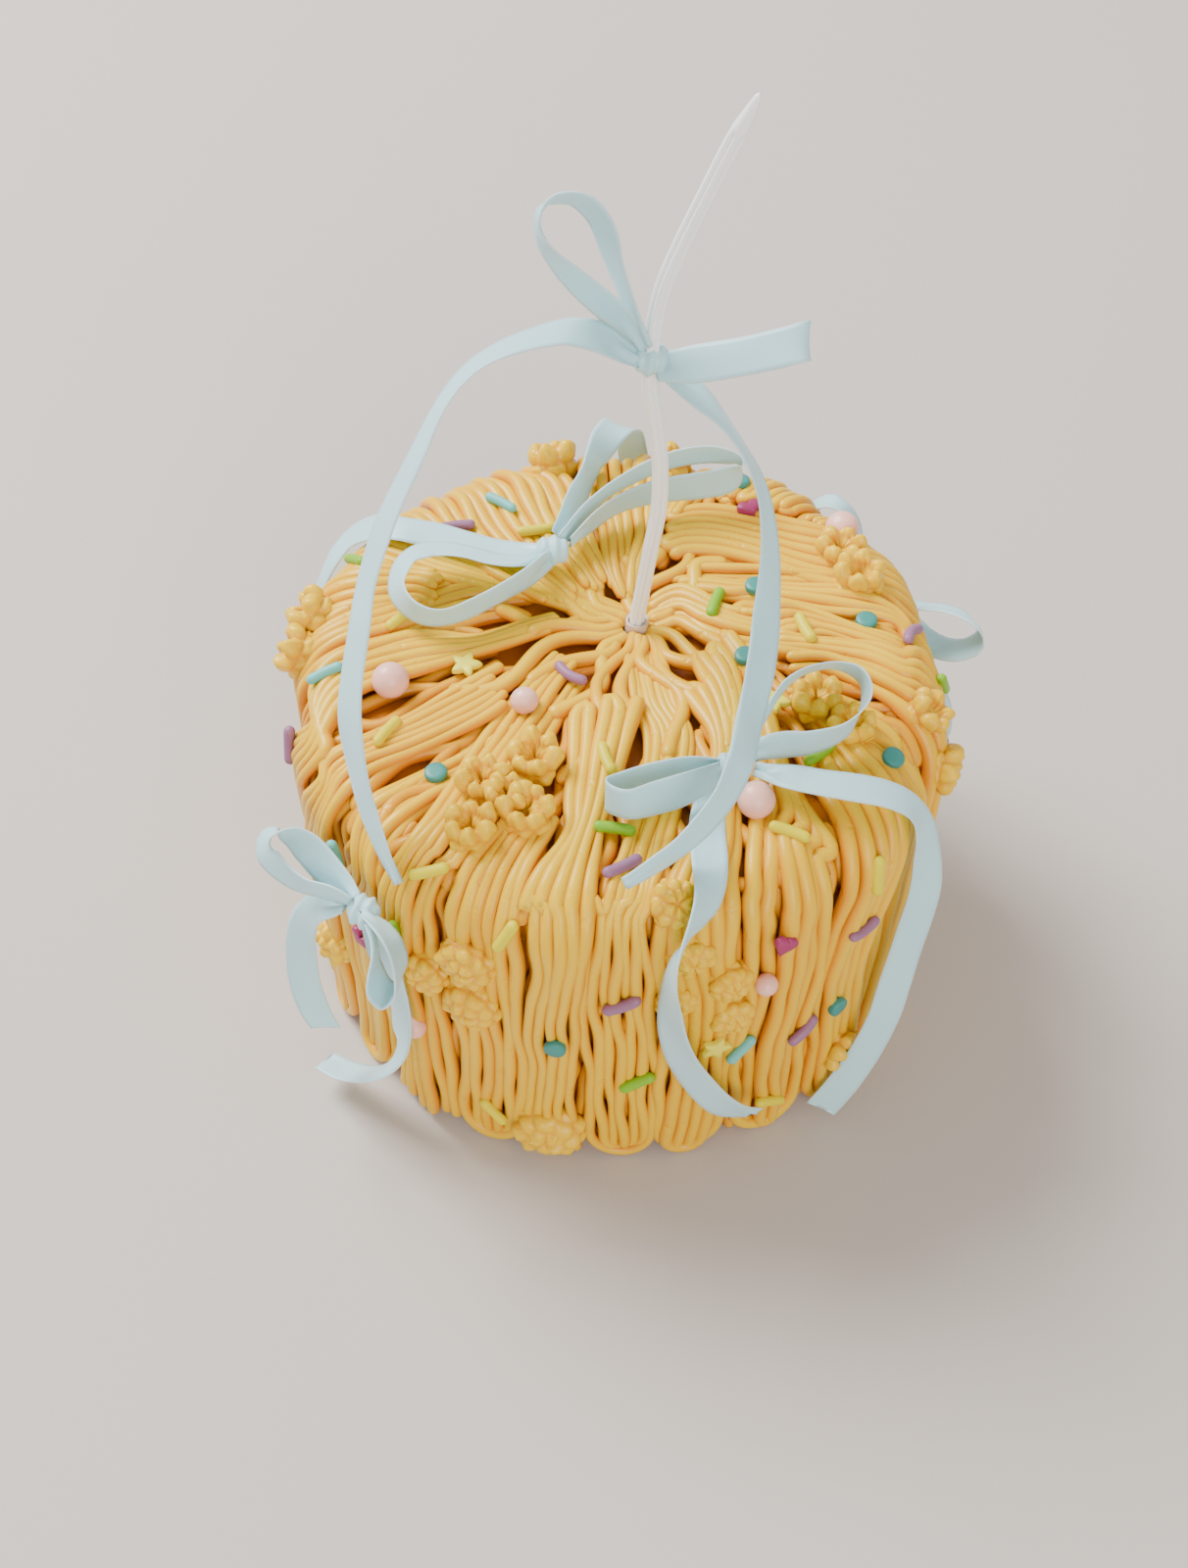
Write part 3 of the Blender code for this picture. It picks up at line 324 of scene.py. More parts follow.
# materials
def creamLook(name, pale, shadedColour):
    # buttercream: painted light on the tops of the strands and painted shade in the gaps between
    # them, with small pits;
    # shade = 0.3 broad noise + 0.35 tone of the strand + 1.1 painted light - 0.52, from the shaded
    # colour to the pale one
    look = Look(name)
    where = look.coords()
    broad = look.noise(where, 45.0, 2.0)
    fine = look.noise(where, 900.0, 3.0)
    tone = look.attribute("tone")
    ridge = look.attribute("ridge")
    shade = (broad * 0.3 + tone * 0.35 + ridge * 1.1 - 0.52).clamped()
    colour = look.mixColour(shade, shadedColour, pale)
    look.set(Base_Color=colour, Roughness=(broad * 0.16 + 0.27), IOR=1.45,
             Subsurface_Weight=0.12, Subsurface_Radius=(1.0, 0.6, 0.15), Subsurface_Scale=0.0015,
             Specular_IOR_Level=0.36, Coat_Weight=0.05, Coat_Roughness=0.16)
    pits = look.noise(where, 330.0, 1.0)
    pit = (pits - 0.68).clamped() * 2.0
    look.bump(fine * 0.25 + look.noise(where, 180.0, 2.0) * 0.6 - pit * 4.0, 0.35, 0.0006)
    return look.material


def satinLook(name, colour, edge):
    # satin: fine diagonal twill across the strip and a corded edge on both sides, with a painted
    # highlight that lightens the edges
    look = Look(name)
    uv = look.node("ShaderNodeUVMap", {"uv_map": "flat"})
    split = look.node("ShaderNodeSeparateXYZ", None, {"Vector": uv})
    across = split
    along = Sock(look.tree, split.socket.node.outputs[1])
    fromEdge = (across - 0.5).math("ABSOLUTE")
    rim = ((fromEdge - 0.455) * 40.0).clamped()
    weave = (along * 9.0 + across * 26.0).math("SINE")
    cord = (along * 11.0).math("SINE")
    soft = look.noise(look.coords(), 60.0, 2.0)
    base = look.mixColour(soft, tuple(0.93 * c for c in colour), colour)
    # painted highlight: the corded edges are mixed halfway to the pale edge colour
    base = look.mixColour(rim * 0.5, base, edge)
    look.set(Base_Color=base, Roughness=(rim * 0.25 + soft * 0.1 + 0.30), Sheen_Weight=0.25,
             Sheen_Roughness=0.4, Specular_IOR_Level=0.5, Anisotropic=0.45,
             Subsurface_Weight=0.0)
    look.bump(weave * 0.10 * (1.0 - rim) + cord * rim * 0.8 + rim * 0.5, 0.35, 0.00012)
    thin = look.node("ShaderNodeBsdfTranslucent", None, {"Color": base})
    front = Sock(look.tree, look.shader.outputs[0])
    blend = look.node("ShaderNodeMixShader", None, {0: 0.22, 1: front, 2: thin})
    look.tree.links.new(blend.socket, look.output.inputs["Surface"])
    return look.material


def plainLook(name, colour, roughness, grain=500.0, bump=0.15, spread=0.06, **extra):
    # sugar, wax or plastic: one colour, darker by spread in places, with a fine grain
    look = Look(name)
    where = look.coords()
    tone = look.noise(where, 160.0, 2.0)
    dark = tuple(c * (1 - spread) for c in colour)
    look.set(Base_Color=look.mixColour(tone, dark, colour),
             Roughness=(tone * 0.1 + roughness - 0.05), **extra)
    look.bump(look.noise(where, grain, 2.0), bump, 0.0003)
    return look.material


# cream colours: the first is the lit colour on the strand tops, the second the painted shade in the
# gaps; creamUnder is a darker copy of the same cream, painted shade for the core and the lower
# strands
creamPale = creamLook("cream", (0.77, 0.47, 0.002), (0.70, 0.26, 0.0))
creamShaded = creamLook("creamUnder", (0.75, 0.36, 0.001), (0.50, 0.16, 0.0))
# the satin's own blue, then the pale colour of the painted highlight on its edges
satin = satinLook("satin", (0.56, 0.84, 0.90), (0.82, 0.95, 0.98))


# cream: a closed core, three under layers of strands, then bands of strands on top
coreSet = {"columns": 220, "rows": 90, "lift": -4.4, "start": 2.0, "base": 0.4}


def buildCore():
    # skin grid sunk by lift, closed at the hub and flat at the foot, with the top
    # raised by a small sine of the azimuth times a sine of the run
    az = np.linspace(-np.pi, np.pi, coreSet["columns"], endpoint=False)
    s = np.linspace(coreSet["start"], skinRun, coreSet["rows"])
    grid = skin(az[None, :], s[:, None], coreSet["lift"])[0]
    grid[-1, :, 2] = coreSet["base"]
    wave = 0.25 * np.sin(9 * az)[None, :] * np.sin(s / 7.0)[:, None]
    grid[:, :, 2] += np.where(s[:, None] < flatRun, wave, 0)
    verts = capped(grid)
    quads, tris = tubeFaces(coreSet["rows"], coreSet["columns"])
    # the core carries no painted light and takes the darker cream: painted shade where it shows
    # between the strands
    obj = makeObject("creamCore", verts, quads[:, ::-1], tris[:, ::-1],
                     tone=np.full(len(verts), 0.2), ridge=np.zeros(len(verts)))
    obj.data.materials.append(creamShaded)
    return obj


# under layers: strands, where they start and end along the skin, radius there, lift
underSet = {
    "stations": 60, "sides": 8, "footGap": 1.6,
    "layers": ((21, (3.4, 5.0), (22, 42), (1.5, 1.95), -0.9),
               (70, (24, 34), (66, 74), (1.5, 2.1), -2.6),
               (120, (60, 68), (168, 171), (1.35, 1.5), -3.2)),
}


def buildUnder():
    # strands out from the hub: azimuth = its own + small sines of the run, and height =
    # the layer's lift + a small sine of the run + its own share
    pieces = []
    q = np.linspace(0, 1, underSet["stations"])[None, :]
    for layer, (n, first, last, radius, lift) in enumerate(underSet["layers"]):
        start = rng.uniform(*first, n)[:, None]
        end = np.minimum(rng.uniform(*last, n)[:, None], skinRun - underSet["footGap"])
        s = start + (end - start) * q
        own = 2 * np.pi * (np.arange(n)[:, None] + rng.uniform(-0.2, 0.2, (n, 1))) / n
        phase = rng.uniform(0, 6.3, (n, 1))
        sway = (3.2 - 1.1 * layer) * np.sin(s / 4.6 + phase) + 0.5 * np.sin(s / 2.6 + 2 * phase)
        az = own + sway * np.clip((s - 3) / 8, 0, 1) / np.clip(s, 9, 72)
        rise = lift + 0.4 * np.sin(s / 5.0 + 2 * phase)
        rise = rise + rng.uniform(-1, 1, (n, 1)) * (0.7 - 0.2 * layer)
        path, normal = skin(az, s, rise)
        thick = (radius[0] + (radius[1] - radius[0]) * q) * rng.uniform(0.92, 1.08, (n, 1))
        path[..., 2] = np.maximum(path[..., 2], thick)
        obj = tubes(f"creamUnder{layer}", path, normal, thick, underSet["sides"],
                    values=rng.uniform(0, 1, n))
        # the two lower layers take the darker copy of the cream, painted shade beneath the strands
        # above them; the first layer takes the main cream
        obj.data.materials.append(creamShaded if layer else creamPale)
        pieces.append(obj)
    return pieces


def flatOf(az, s):
    # the skin unrolled flat round the hub: x = s sin az, y = -s cos az
    return np.stack([s * np.sin(az), -s * np.cos(az)], -1)


def polarOf(p):
    # azimuth and run of a point of the unrolled skin
    return np.arctan2(p[..., 0], -p[..., 1]), np.hypot(p[..., 0], p[..., 1])


# each band: strands, lift, loops at its top, loops at its foot, then its two edges as
# (azimuth, run along the skin); strands lie evenly between the edges
bandSet = {
    "fill": 0.61, "radius": (1.2, 1.9), "sides": 10, "single": 120, "pair": 230, "sink": 1.25,
    "edge": 260, "footBend": 28, "topBend": 14, "topArm": 26, "footGap": 1.5,
    "rows": (
        (6, 0.5, 0, 1, ((-72, 29), (-66, 60), (-66, 68), (-63, 74), (-71, 104), (-71, 171)),
         ((-54, 29), (-53, 38), (-58, 58), (-56, 80), (-60, 104), (-60, 171))),
        (6, -0.7, 0, 1, ((-45, 32), (-53, 62), (-50, 80), (-58, 104), (-58, 171)),
         ((-36, 42), (-44, 57), (-43, 81), (-46, 105), (-46, 171))),
        (6, 0.7, 0, 0, ((-103, 18), (-92, 32), (-96, 41), (-96, 50), (-89, 64), (-84, 68),
                        (-76, 71), (-86, 104), (-86, 171)),
         ((-86, 18), (-80, 55), (-72, 66), (-67, 70), (-74, 104), (-74, 171))),
        (6, 0.9, 0, 1, ((-123, 48), (-114, 104), (-114, 171)),
         ((-108, 44), (-110, 50), (-104, 67), (-101, 104), (-101, 171))),
        (6, 0.0, 0, 0, ((-126, 33), (-122, 44), (-100, 76), (-98, 110), (-99, 171)),
         ((-113, 32), (-92, 66), (-89, 76), (-88, 110), (-89, 171))),
        (6, 0.3, 0, 0, ((-68, 18), (-55, 28), (-47, 41), (-40, 70), (-43, 104), (-43, 171)),
         ((-35, 16), (-31, 30), (-30, 62), (-32, 76), (-31, 171))),
        (6, -0.2, 0, 1, ((-26, 46), (-28, 104), (-28, 171)),
         ((-16, 48), (-17, 104), (-17, 171))),
        (5, 1.0, 1, 0, ((-28, 24), (-14, 44), (-12, 54), (-16, 70), (-14, 75), (-15, 171)),
         ((4, 22), (-4, 54), (-7, 104), (-7, 171))),
        (7, 0.2, 0, 1, ((-18, 8), (2, 22), (8, 34), (-2, 68), (-5, 74), (-5, 171)),
         ((44, 6), (25, 22), (24, 34), (6, 66), (4, 74), (7, 104), (7, 171))),
        (6, 0.5, 1, 1, ((30, 20), (32, 36), (18, 53), (8, 71), (8, 104), (8, 171)),
         ((74, 19), (55, 28), (26, 55), (20, 70), (20, 104), (20, 171))),
        (6, 0.1, 1, 1, ((86, 22), (69, 28), (41, 44), (24, 66), (22, 82), (23, 171)),
         ((52, 40), (43, 52), (40, 67), (36, 70), (36, 104), (36, 171))),
        (6, 0.4, 0, 1, ((55, 45), (42, 72), (38, 104), (38, 171)),
         ((65, 56), (58, 72), (50, 104), (50, 171))),
        (6, 1.0, 0, 0, ((94, 34), (94, 56), (91, 64), (92, 72), (78, 104), (78, 171)),
         ((76, 35), (82, 55), (66, 104), (66, 171))),
        (6, -0.3, 0, 0, ((72, 38), (77, 48), (76, 56), (72, 63), (67, 67), (64, 104), (64, 171)),
         ((66, 44), (53, 104), (53, 171))),
        (7, 0.6, 1, 0, ((164, 48), (154, 53), (133, 60), (124, 70), (118, 104), (118, 171)),
         ((160, 26), (143, 35), (107, 76), (105, 171))),
        (7, 0.1, 0, 0, ((156, 22), (139, 31), (119, 58), (106, 72), (103, 104), (103, 171)),
         ((147, 12), (118, 22), (110, 38), (102, 64), (92, 80), (91, 171))),
        (5, 0.5, 0, 0, ((172, 6), (140, 16), (109, 22), (104, 32), (106, 45), (88, 104),
                        (88, 171)),
         ((120, 4), (110, 12), (88, 17), (88, 28), (94, 40), (96, 54), (80, 104), (80, 171))),
        (12, 0.4, 0, 0, ((-111, 20), (-122, 30), (-130, 42), (-141, 72), (-141, 104),
                         (-141, 171)),
         ((-157, 11), (-165, 26), (-170, 58), (-165, 72), (-168, 104), (-168, 171))),
        (6, 0.9, 1, 0, ((-161, 10), (-166, 20), (-173, 45), (-173, 110), (-173, 171)),
         ((-178, 9), (174, 20), (170, 33), (171, 72), (170, 110), (170, 171))),
        (8, 0.3, 1, 0, ((-168, 6), (-139, 12), (-133, 18), (-131, 24), (-137, 72),
                        (-137, 110), (-137, 171)),
         ((-102, 6), (-107, 9), (-115, 20), (-120, 60), (-120, 110), (-119, 171))),
        (8, 0.2, 0, 0, ((176, 44), (170, 70), (167, 104), (167, 171)),
         ((160, 46), (157, 70), (153, 104), (153, 171))),
        (8, 0.5, 1, 1, ((155, 58), (153, 70), (150, 104), (150, 171)),
         ((139, 60), (139, 70), (136, 104), (136, 171))),
        (7, 0.0, 0, 0, ((136, 62), (135, 70), (133, 104), (133, 171)),
         ((124, 64), (123, 70), (121, 104), (121, 171))),
    ),
}


def bandStrands(number, row):
    # strand = edge one (1 - w) + edge two w; at the foot two strands join in a half
    # circle on the wall, at the top two neighbours join in a half circle laid flat
    count, lift, topLoops, footLoops, one, two = row
    one, two = [splinePoints(flatOf(np.radians(p[:, 0]), p[:, 1]), bandSet["edge"])[0]
                for p in (np.array(one, float), np.array(two, float))]
    ends = [skin(*polarOf(e)) for e in (one, two)]
    gap = np.linalg.norm(ends[0][0] - ends[1][0], axis=1) / (count - 1)
    radius = np.clip(bandSet["fill"] * gap, *bandSet["radius"])
    laid = []
    for w in np.linspace(0.02, 0.98, count):
        line = one * (1 - w) + two * w
        cut = int(rng.integers(0, 9))
        laid.append(np.column_stack([line, radius, np.full(len(line), w)])[cut:])
    lowest = skinRun - bandSet["footGap"]
    chains, used = [], set()
    if footLoops:
        steps = bandSet["footBend"]
        a = np.linspace(0, math.pi, steps + 2)[1:-1]
        for i in range(count // 2):
            pair = (laid[i], laid[count - 1 - i])
            az = [polarOf(p[-40:, :2])[0].mean() for p in pair]
            turn = (az[1] - az[0] + math.pi) % (2 * math.pi) - math.pi
            rho = abs(turn) * skinSet["side"] / 2
            legs = [p[polarOf(p[:, :2])[1] < lowest - rho] for p in pair]
            bend = flatOf(az[0] + turn / 2 * (1 - np.cos(a)), lowest - rho + rho * np.sin(a))
            shares = np.linspace(legs[0][-1, 3], legs[1][-1, 3], steps)
            bend = np.column_stack([bend, np.full(steps, radius[-1]), shares])
            chains.append(np.concatenate([legs[0], bend, legs[1][::-1]]))
            used |= {i, count - 1 - i}
    if topLoops:
        a = np.linspace(0, math.pi, bandSet["topBend"] + 2)[1:-1, None]
        reach = bandSet["topArm"] if footLoops else bandSet["edge"]
        for i in range(0, count - 1, 2):
            pair = (laid[i], laid[i + 1])
            middle = (pair[0][0] + pair[1][0]) / 2
            arm = (pair[0][0] - pair[1][0]) / 2
            ahead = unit(pair[0][0, :2] - pair[0][6, :2]) * np.hypot(*arm[:2])
            bend = middle + arm * np.cos(a)
            bend[:, :2] += ahead * np.sin(a)
            chains.append(np.concatenate([pair[0][:reach][::-1], bend, pair[1][:reach]]))
            used |= {i, i + 1}
    for i in set(range(count)) - used:
        short = lowest - rng.uniform(0, 2.5)
        chains.append(laid[i][polarOf(laid[i][:, :2])[1] < short])
    return [(c, lift, number) for c in chains]


def buildSwaths():
    # every strand's azimuth also takes a slow wave shared by its band and a small one of
    # its own; its height is the band's lift + a crown over the band + slow waves
    chains = [c for number, row in enumerate(bandSet["rows"]) for c in bandStrands(number, row)]
    pieces, mostOfOne = [], 300
    for name, samples, wanted in (("creamBands", bandSet["single"], False),
                                  ("creamLoops", bandSet["pair"], True)):
        chosen = [c for c in chains if (len(c[0]) > mostOfOne) == wanted]
        line = np.array([evenly(c[0], samples)[0] for c in chosen])
        lift, number = [np.array(v, float)[:, None] for v in zip(*[c[1:] for c in chosen])]
        n = len(chosen)
        phase = rng.uniform(0, 6.3, (n, 1))
        az, s = polarOf(line[..., :2])
        s = np.maximum(s, 5.4)
        across = line[..., 3]
        down = np.clip((s - 45) / 50, 0, 1)
        wave = (0.35 + 0.55 * down) * np.sin(s / 15.0 + 2.1 * number)
        wave = wave + 0.35 * down * np.sin(s / 7.2 + 1.3 * number)
        wave = wave + (0.28 + 0.2 * down) * np.sin(s / 6.5 + phase)
        wave = wave + 0.14 * np.sin(s / 2.8 + 2 * phase)
        az = az + wave * np.clip((s - 4) / 20, 0, 1) / np.clip(s, 6, skinSet["side"])
        rise = 1.5 * lift + 0.7 * (1 - (2 * across - 1) ** 2) - bandSet["sink"]
        rise = rise + 0.4 * np.sin(s / 14.0 + 1.9 * number) + 0.25 * np.sin(s / 8.0 + phase)
        rise = rise + rng.uniform(-0.9, 0.7, (n, 1)) - 0.6 * np.clip((12 - s) / 8, 0, 1)
        path, normal = skin(az, s, rise)
        uneven = 1 + 0.06 * np.sin(s / 7.0 + phase) + 0.035 * np.sin(s / 2.6 + 3 * phase)
        thick = line[..., 2] * uneven * rng.uniform(0.94, 1.08, (n, 1))
        thick = thick * (1 - 0.1 * np.clip((s - 80) / 20, 0, 1))
        path[..., 2] = np.maximum(path[..., 2], thick * 0.98)
        tone = rng.uniform(0.2, 1.0, n)
        for part in range(2):
            pick = slice(part, None, 2)
            obj = tubes(f"{name}{part}", path[pick], normal[pick], thick[pick],
                        bandSet["sides"], values=tone[pick])
            obj.data.materials.append(creamPale)
            pieces.append(obj)
    return pieces


# piped flowers: azimuth, run, size, height, and 1 for an open one with a hollow or 0
# for a closed mound; a form has the petals of each tier from outside in, their depth
# and the outline
starSet = {
    "forms": {
        1: ((6, 6, 3), 0.24, ((0.55, -0.7), (0.74, -0.1), (0.84, 0.35), (0.84, 0.78), (0.70, 1.0),
                              (0.54, 0.90), (0.42, 0.52), (0.26, 0.22), (0.06, 0.20))),
        0: ((10, 8, 5), 0.17, ((0.66, -0.7), (0.84, -0.1), (0.90, 0.25), (0.82, 0.55),
                               (0.66, 0.80), (0.46, 0.98), (0.24, 1.06), (0.06, 1.08))),
    },
    "around": 84, "stations": 32, "skirt": 0.08, "shares": 40,
    "places": (
        (-28, 39, 5.6, 4.6, 1), (-36, 47, 5.4, 4.4, 1), (-22, 50, 5.6, 4.6, 1),
        (-31, 57, 5.2, 4.4, 1), (-28, 48, 4.6, 4.6, 1), (-25, 88, 6.4, 3.4, 0),
        (-33, 98, 5.4, 3.4, 0), (-25, 104, 6.6, 3.4, 0), (-39, 92, 4.4, 3.0, 0),
        (-12, 150, 8.2, 4.4, 0), (-104, 72, 5.8, 4.4, 1), (-96, 74, 5.4, 4.4, 1),
        (-100, 82, 4.4, 3.6, 1), (-167, 67, 5.8, 5.4, 1), (168, 66, 5.2, 4.4, 1),
        (113, 60, 5.6, 4.6, 1), (122, 60, 5.2, 4.4, 1), (69, 45, 5.6, 4.0, 1),
        (66, 54, 5.2, 3.8, 1), (78, 69, 5.2, 4.0, 1), (74, 80, 5.6, 4.0, 1),
        (10, 68, 5.4, 3.2, 0), (12, 80, 5.2, 3.2, 0), (19, 92, 5.2, 3.2, 0),
        (10, 96, 4.6, 3.0, 0), (20, 105, 5.2, 3.2, 0), (44, 141, 5.6, 4.0, 1),
        (-62, 126, 5.8, 3.6, 0), (150, 98, 5.6, 3.6, 0), (-148, 142, 5.8, 3.8, 0)),
}


def buildStars():
    # outline turned round the middle, pushed out along its normal by size times depth
    # times |cos(petals a / 2)| times |sin(pi tier)|, both to a low power; some petals
    # are pushed further, and those of an open flower end in a point
    a = circle(starSet["around"])
    q = np.linspace(0, 1, starSet["stations"])[:, None]
    climb = (q - starSet["skirt"]) / (1 - starSet["skirt"]) * 3
    tier = np.clip(np.floor(climb), 0, 2)
    inside = np.clip(climb - tier, 0, 1)
    verts, tones, ridges = [], [], []
    for i, (az, s, size, height, kind) in enumerate(starSet["places"]):
        base, n, along, across = placed(az, s, 37 * i)
        tiers, depth, outline = starSet["forms"][kind]
        prof = splinePoints(np.array(outline) * (size, height), starSet["stations"])[0]
        slope = unit(np.gradient(prof, axis=0))
        petals = np.array(tiers)[tier.astype(int)]
        angle = petals * a / 2 + tier * 1.1 + 0.25 * np.sin(2 * a + i) + 0.3 * (q - 0.5)
        petal = (np.floor(angle / np.pi + 0.5) % petals + 12 * tier).astype(int)
        lobe = np.abs(np.cos(angle)) ** 0.75 * np.sin(np.pi * inside) ** 0.6
        push = size * depth * lobe * rng.uniform(0.55, 1.5, starSet["shares"])[petal]
        point = np.clip(lobe - 0.5, 0, 1) * rng.uniform(0, 2, starSet["shares"])[petal] * (tier < 2)
        point = point * height * 0.30 * kind
        crease = 0.04 * size * np.sin(11 * a + 14 * q + i) * (prof[:, :1] > 0.2 * size)
        r = prof[:, :1] + slope[:, 1:] * push + crease
        h = prof[:, 1:] - slope[:, :1] * push + point
        grid = (base + along * (r * np.cos(a))[..., None] + across * (r * np.sin(a))[..., None]
                + n * h[..., None])
        verts.append(capped(grid))
        tones.append(np.full(len(verts[-1]), 0.4 + 0.6 * rng.random()))
        # painted light on the petals, painted shade in the grooves between them; the bottom pole is
        # in full painted shade
        ridges.append(np.append(np.clip(0.45 + lobe, 0, 1.1).ravel(), [0, 0.7]))
    obj = makeMany("creamStars", verts, starSet["stations"], starSet["around"],
                   tone=np.concatenate(tones), ridge=np.concatenate(ridges))
    obj.data.materials.append(creamPale)
    return obj


# sugar toppings: azimuth, run along the skin, turn from straight down, kind
sprinkleSet = {
    "length": 9.0, "radius": 1.25, "stations": 15, "sides": 16,
    "flatAround": 60, "flatRings": 9, "high": 12.0, "reach": 0.016, "least": 0.6,
    "rods": {
        "yellow": ((-64, 54, 28), (-33, 68, -52), (-18, 76, -24), (-6, 37, 26), (35, 60, 32),
                   (45, 76, -16), (-22, 146, 40), (29, 146, 58), (96, 42, -60), (-151, 40, 55),
                   (-102, 50, 50)),
        "green": ((-118, 67, -20), (-37, 87, 8), (109, 20, 70), (54, 51, 88), (-1, 51, 84),
                  (4, 128, -56), (90, 76, 20), (170, 92, 40)),
        "mauve": ((-42, 20, 86), (1, 60, -62), (1, 96, -60), (43, 91, 86), (34, 121, -50),
                  (-77, 78, 24), (-137, 53, 50), (97, 67, 50), (82, 86, 10)),
        "aqua": ((-151, 55, 20), (22, 119, -40), (-52, 80, 20), (-84, 64, 10), (-118, 112, 15)),
    },
    "discs": ((-48, 50), (-10, 111), (63, 64), (71, 27), (117, 33), (101, 58), (11, 40), (41, 119),
              (152, 62), (-132, 90)),
    "hearts": ((27, 81, 150), (-48, 103, 150), (146, 55, 60), (-127, 62, 100)),
    "stars": ((-77, 36, 10), (59, 37, 30), (17, 114, 12), (128, 92, 0)),
    "colours": {"yellow": (0.70, 0.58, 0.0), "green": (0.20, 0.44, 0.01),
                "mauve": (0.28, 0.13, 0.22), "aqua": (0.14, 0.48, 0.44),
                "disc": (0.03, 0.22, 0.19), "heart": (0.32, 0.02, 0.11),
                "star": (0.80, 0.70, 0.04)},
}


def topOf(base, n):
    # height above the skin of the highest cream over this place
    high = sprinkleSet["high"]
    hit = creamTree.ray_cast(Vector((base + n * high) * mm), Vector(-n), sprinkleSet["reach"])
    return sprinkleSet["least"] if hit[0] is None else high - hit[3] / mm


def buildRods(kind, rows):
    # capsules, some gently bent: centre line = along t + across bend t squared
    t = np.linspace(-1, 1, sprinkleSet["stations"])
    radius = sprinkleSet["radius"]
    half = sprinkleSet["length"] / 2 - radius
    paths, normals, radii = [], [], []
    for i, (az, s, turn) in enumerate(rows):
        base, n, along, across = placed(az, s, turn)
        bend = (0.8 if kind == "mauve" else 0.2) * math.sin(2.4 * i + 1)
        line = base + along * (half * t)[:, None] + across * (bend * (t ** 2 - 0.5))[:, None]
        tops = [topOf(line[j], n) for j in (0, 4, 7, 10, 14)]
        paths.append(line + n * (max(tops) + 0.25 * radius))
        normals.append(np.repeat(n[None], len(t), 0))
        radii.append(np.full(len(t), radius * (0.94 + 0.1 * (i % 3) / 2)))
    return tubes("sugar" + kind.capitalize(), np.array(paths), np.array(normals),
                 np.array(radii), sprinkleSet["sides"])


def outlineOf(kind, a):
    # outline of a flat shape: a circle, a five-pointed star, or a heart from
    # sin a cubed sideways and a sum of cosines lengthways
    if kind == "heart":
        high = 13 * np.cos(a) - 5 * np.cos(2 * a) - 2 * np.cos(3 * a) - np.cos(4 * a)
        return 0.165 * high, -2.9 * np.sin(a) ** 3
    r = 2.45
    if kind == "star":
        r = 1.95 + 1.75 * (np.abs(((a / (2 * np.pi) * 5) % 1) - 0.5) * 2) ** 1.3
    return r * np.cos(a), r * np.sin(a)


def buildFlats(kind, rows, thick):
    # flat sweets: the outline scaled by a rounded edge, from under to over
    rings, sides = sprinkleSet["flatRings"], sprinkleSet["flatAround"]
    a = circle(sides)
    turn = np.radians(np.linspace(-90, 90, rings))[:, None]
    scale = 1 - (1 - np.cos(turn) ** 0.5) * 0.22
    scale[0] = scale[-1] = 0.5
    x, y = outlineOf(kind, a)
    verts = []
    for i, row in enumerate(rows):
        base, n, along, across = placed(row[0], row[1], row[2] if len(row) > 2 else 31 * i)
        tops = [topOf(base + along * u + across * v, n)
                for u, v in ((0, 0), (1.6, 0), (-1.6, 0), (0, 1.6), (0, -1.6))]
        lift = max(tops) + 0.2 * thick
        grid = (base + n * lift + along * (x * scale)[..., None] + across * (y * scale)[..., None]
                + n * (np.sin(turn) * thick / 2 + 0 * x)[..., None])
        verts.append(capped(grid))
    return makeMany("sugar" + kind.capitalize() + "s", verts, rings, sides)


# sugar pearls: azimuth, run, diameter
pearlSet = {
    "rings": 31, "sides": 48, "top": 86.0,
    "places": ((-78, 51, 8.0), (-46, 30, 6.0), (33, 51, 8.0), (127, 64, 8.0),
               (25, 95, 5.0), (-36, 122, 5.0), (163, 116, 8.0), (-136, 108, 6.0)),
}


def buildPearl(number, az, s, size):
    # sphere: radius times (cos, sin) of latitude and longitude
    centre, _ = skin(math.radians(az), s, 0.28 * size + 0.4)
    rings, sides = pearlSet["rings"], pearlSet["sides"]
    lat = np.radians(np.linspace(-pearlSet["top"], pearlSet["top"], rings))[:, None]
    lon = circle(sides)
    r = size / 2 * (1 + 0.012 * np.sin(2 * lon + number) * np.cos(lat))
    grid = np.stack([r * np.cos(lat) * np.cos(lon), r * np.cos(lat) * np.sin(lon),
                     r * np.sin(lat) + 0 * lon], -1) + centre
    poles = np.stack([centre - [0, 0, size / 2], centre + [0, 0, size / 2]])
    verts = np.concatenate([grid.reshape(-1, 3), poles])
    obj = makeObject(f"pearlBall{number}", verts, *tubeFaces(rings, sides))
    obj.data.materials.append(pearlMat)
    return own(obj, f"pearl_{number}")


# candle and its cup
candleSet = {
    "radius": 1.75, "sides": 60, "stations": 220, "flutes": 5, "tip": 9.0, "end": 0.6,
    "line": ((4.8, 13.0, 84.8), (4.8, 13.0, 92.0), (5.7, 12.9, 99.6), (7.3, 12.7, 113.1),
             (8.7, 12.6, 124.4), (8.8, 12.4, 135.4), (7.9, 12.3, 145.9), (6.5, 12.1, 156.1),
             (6.1, 12.0, 163.4), (6.6, 11.9, 172.8), (8.2, 11.7, 182.1), (11.4, 11.5, 192.0),
             (15.4, 11.3, 202.6), (19.4, 11.2, 212.7), (23.5, 11.0, 222.2)),
}


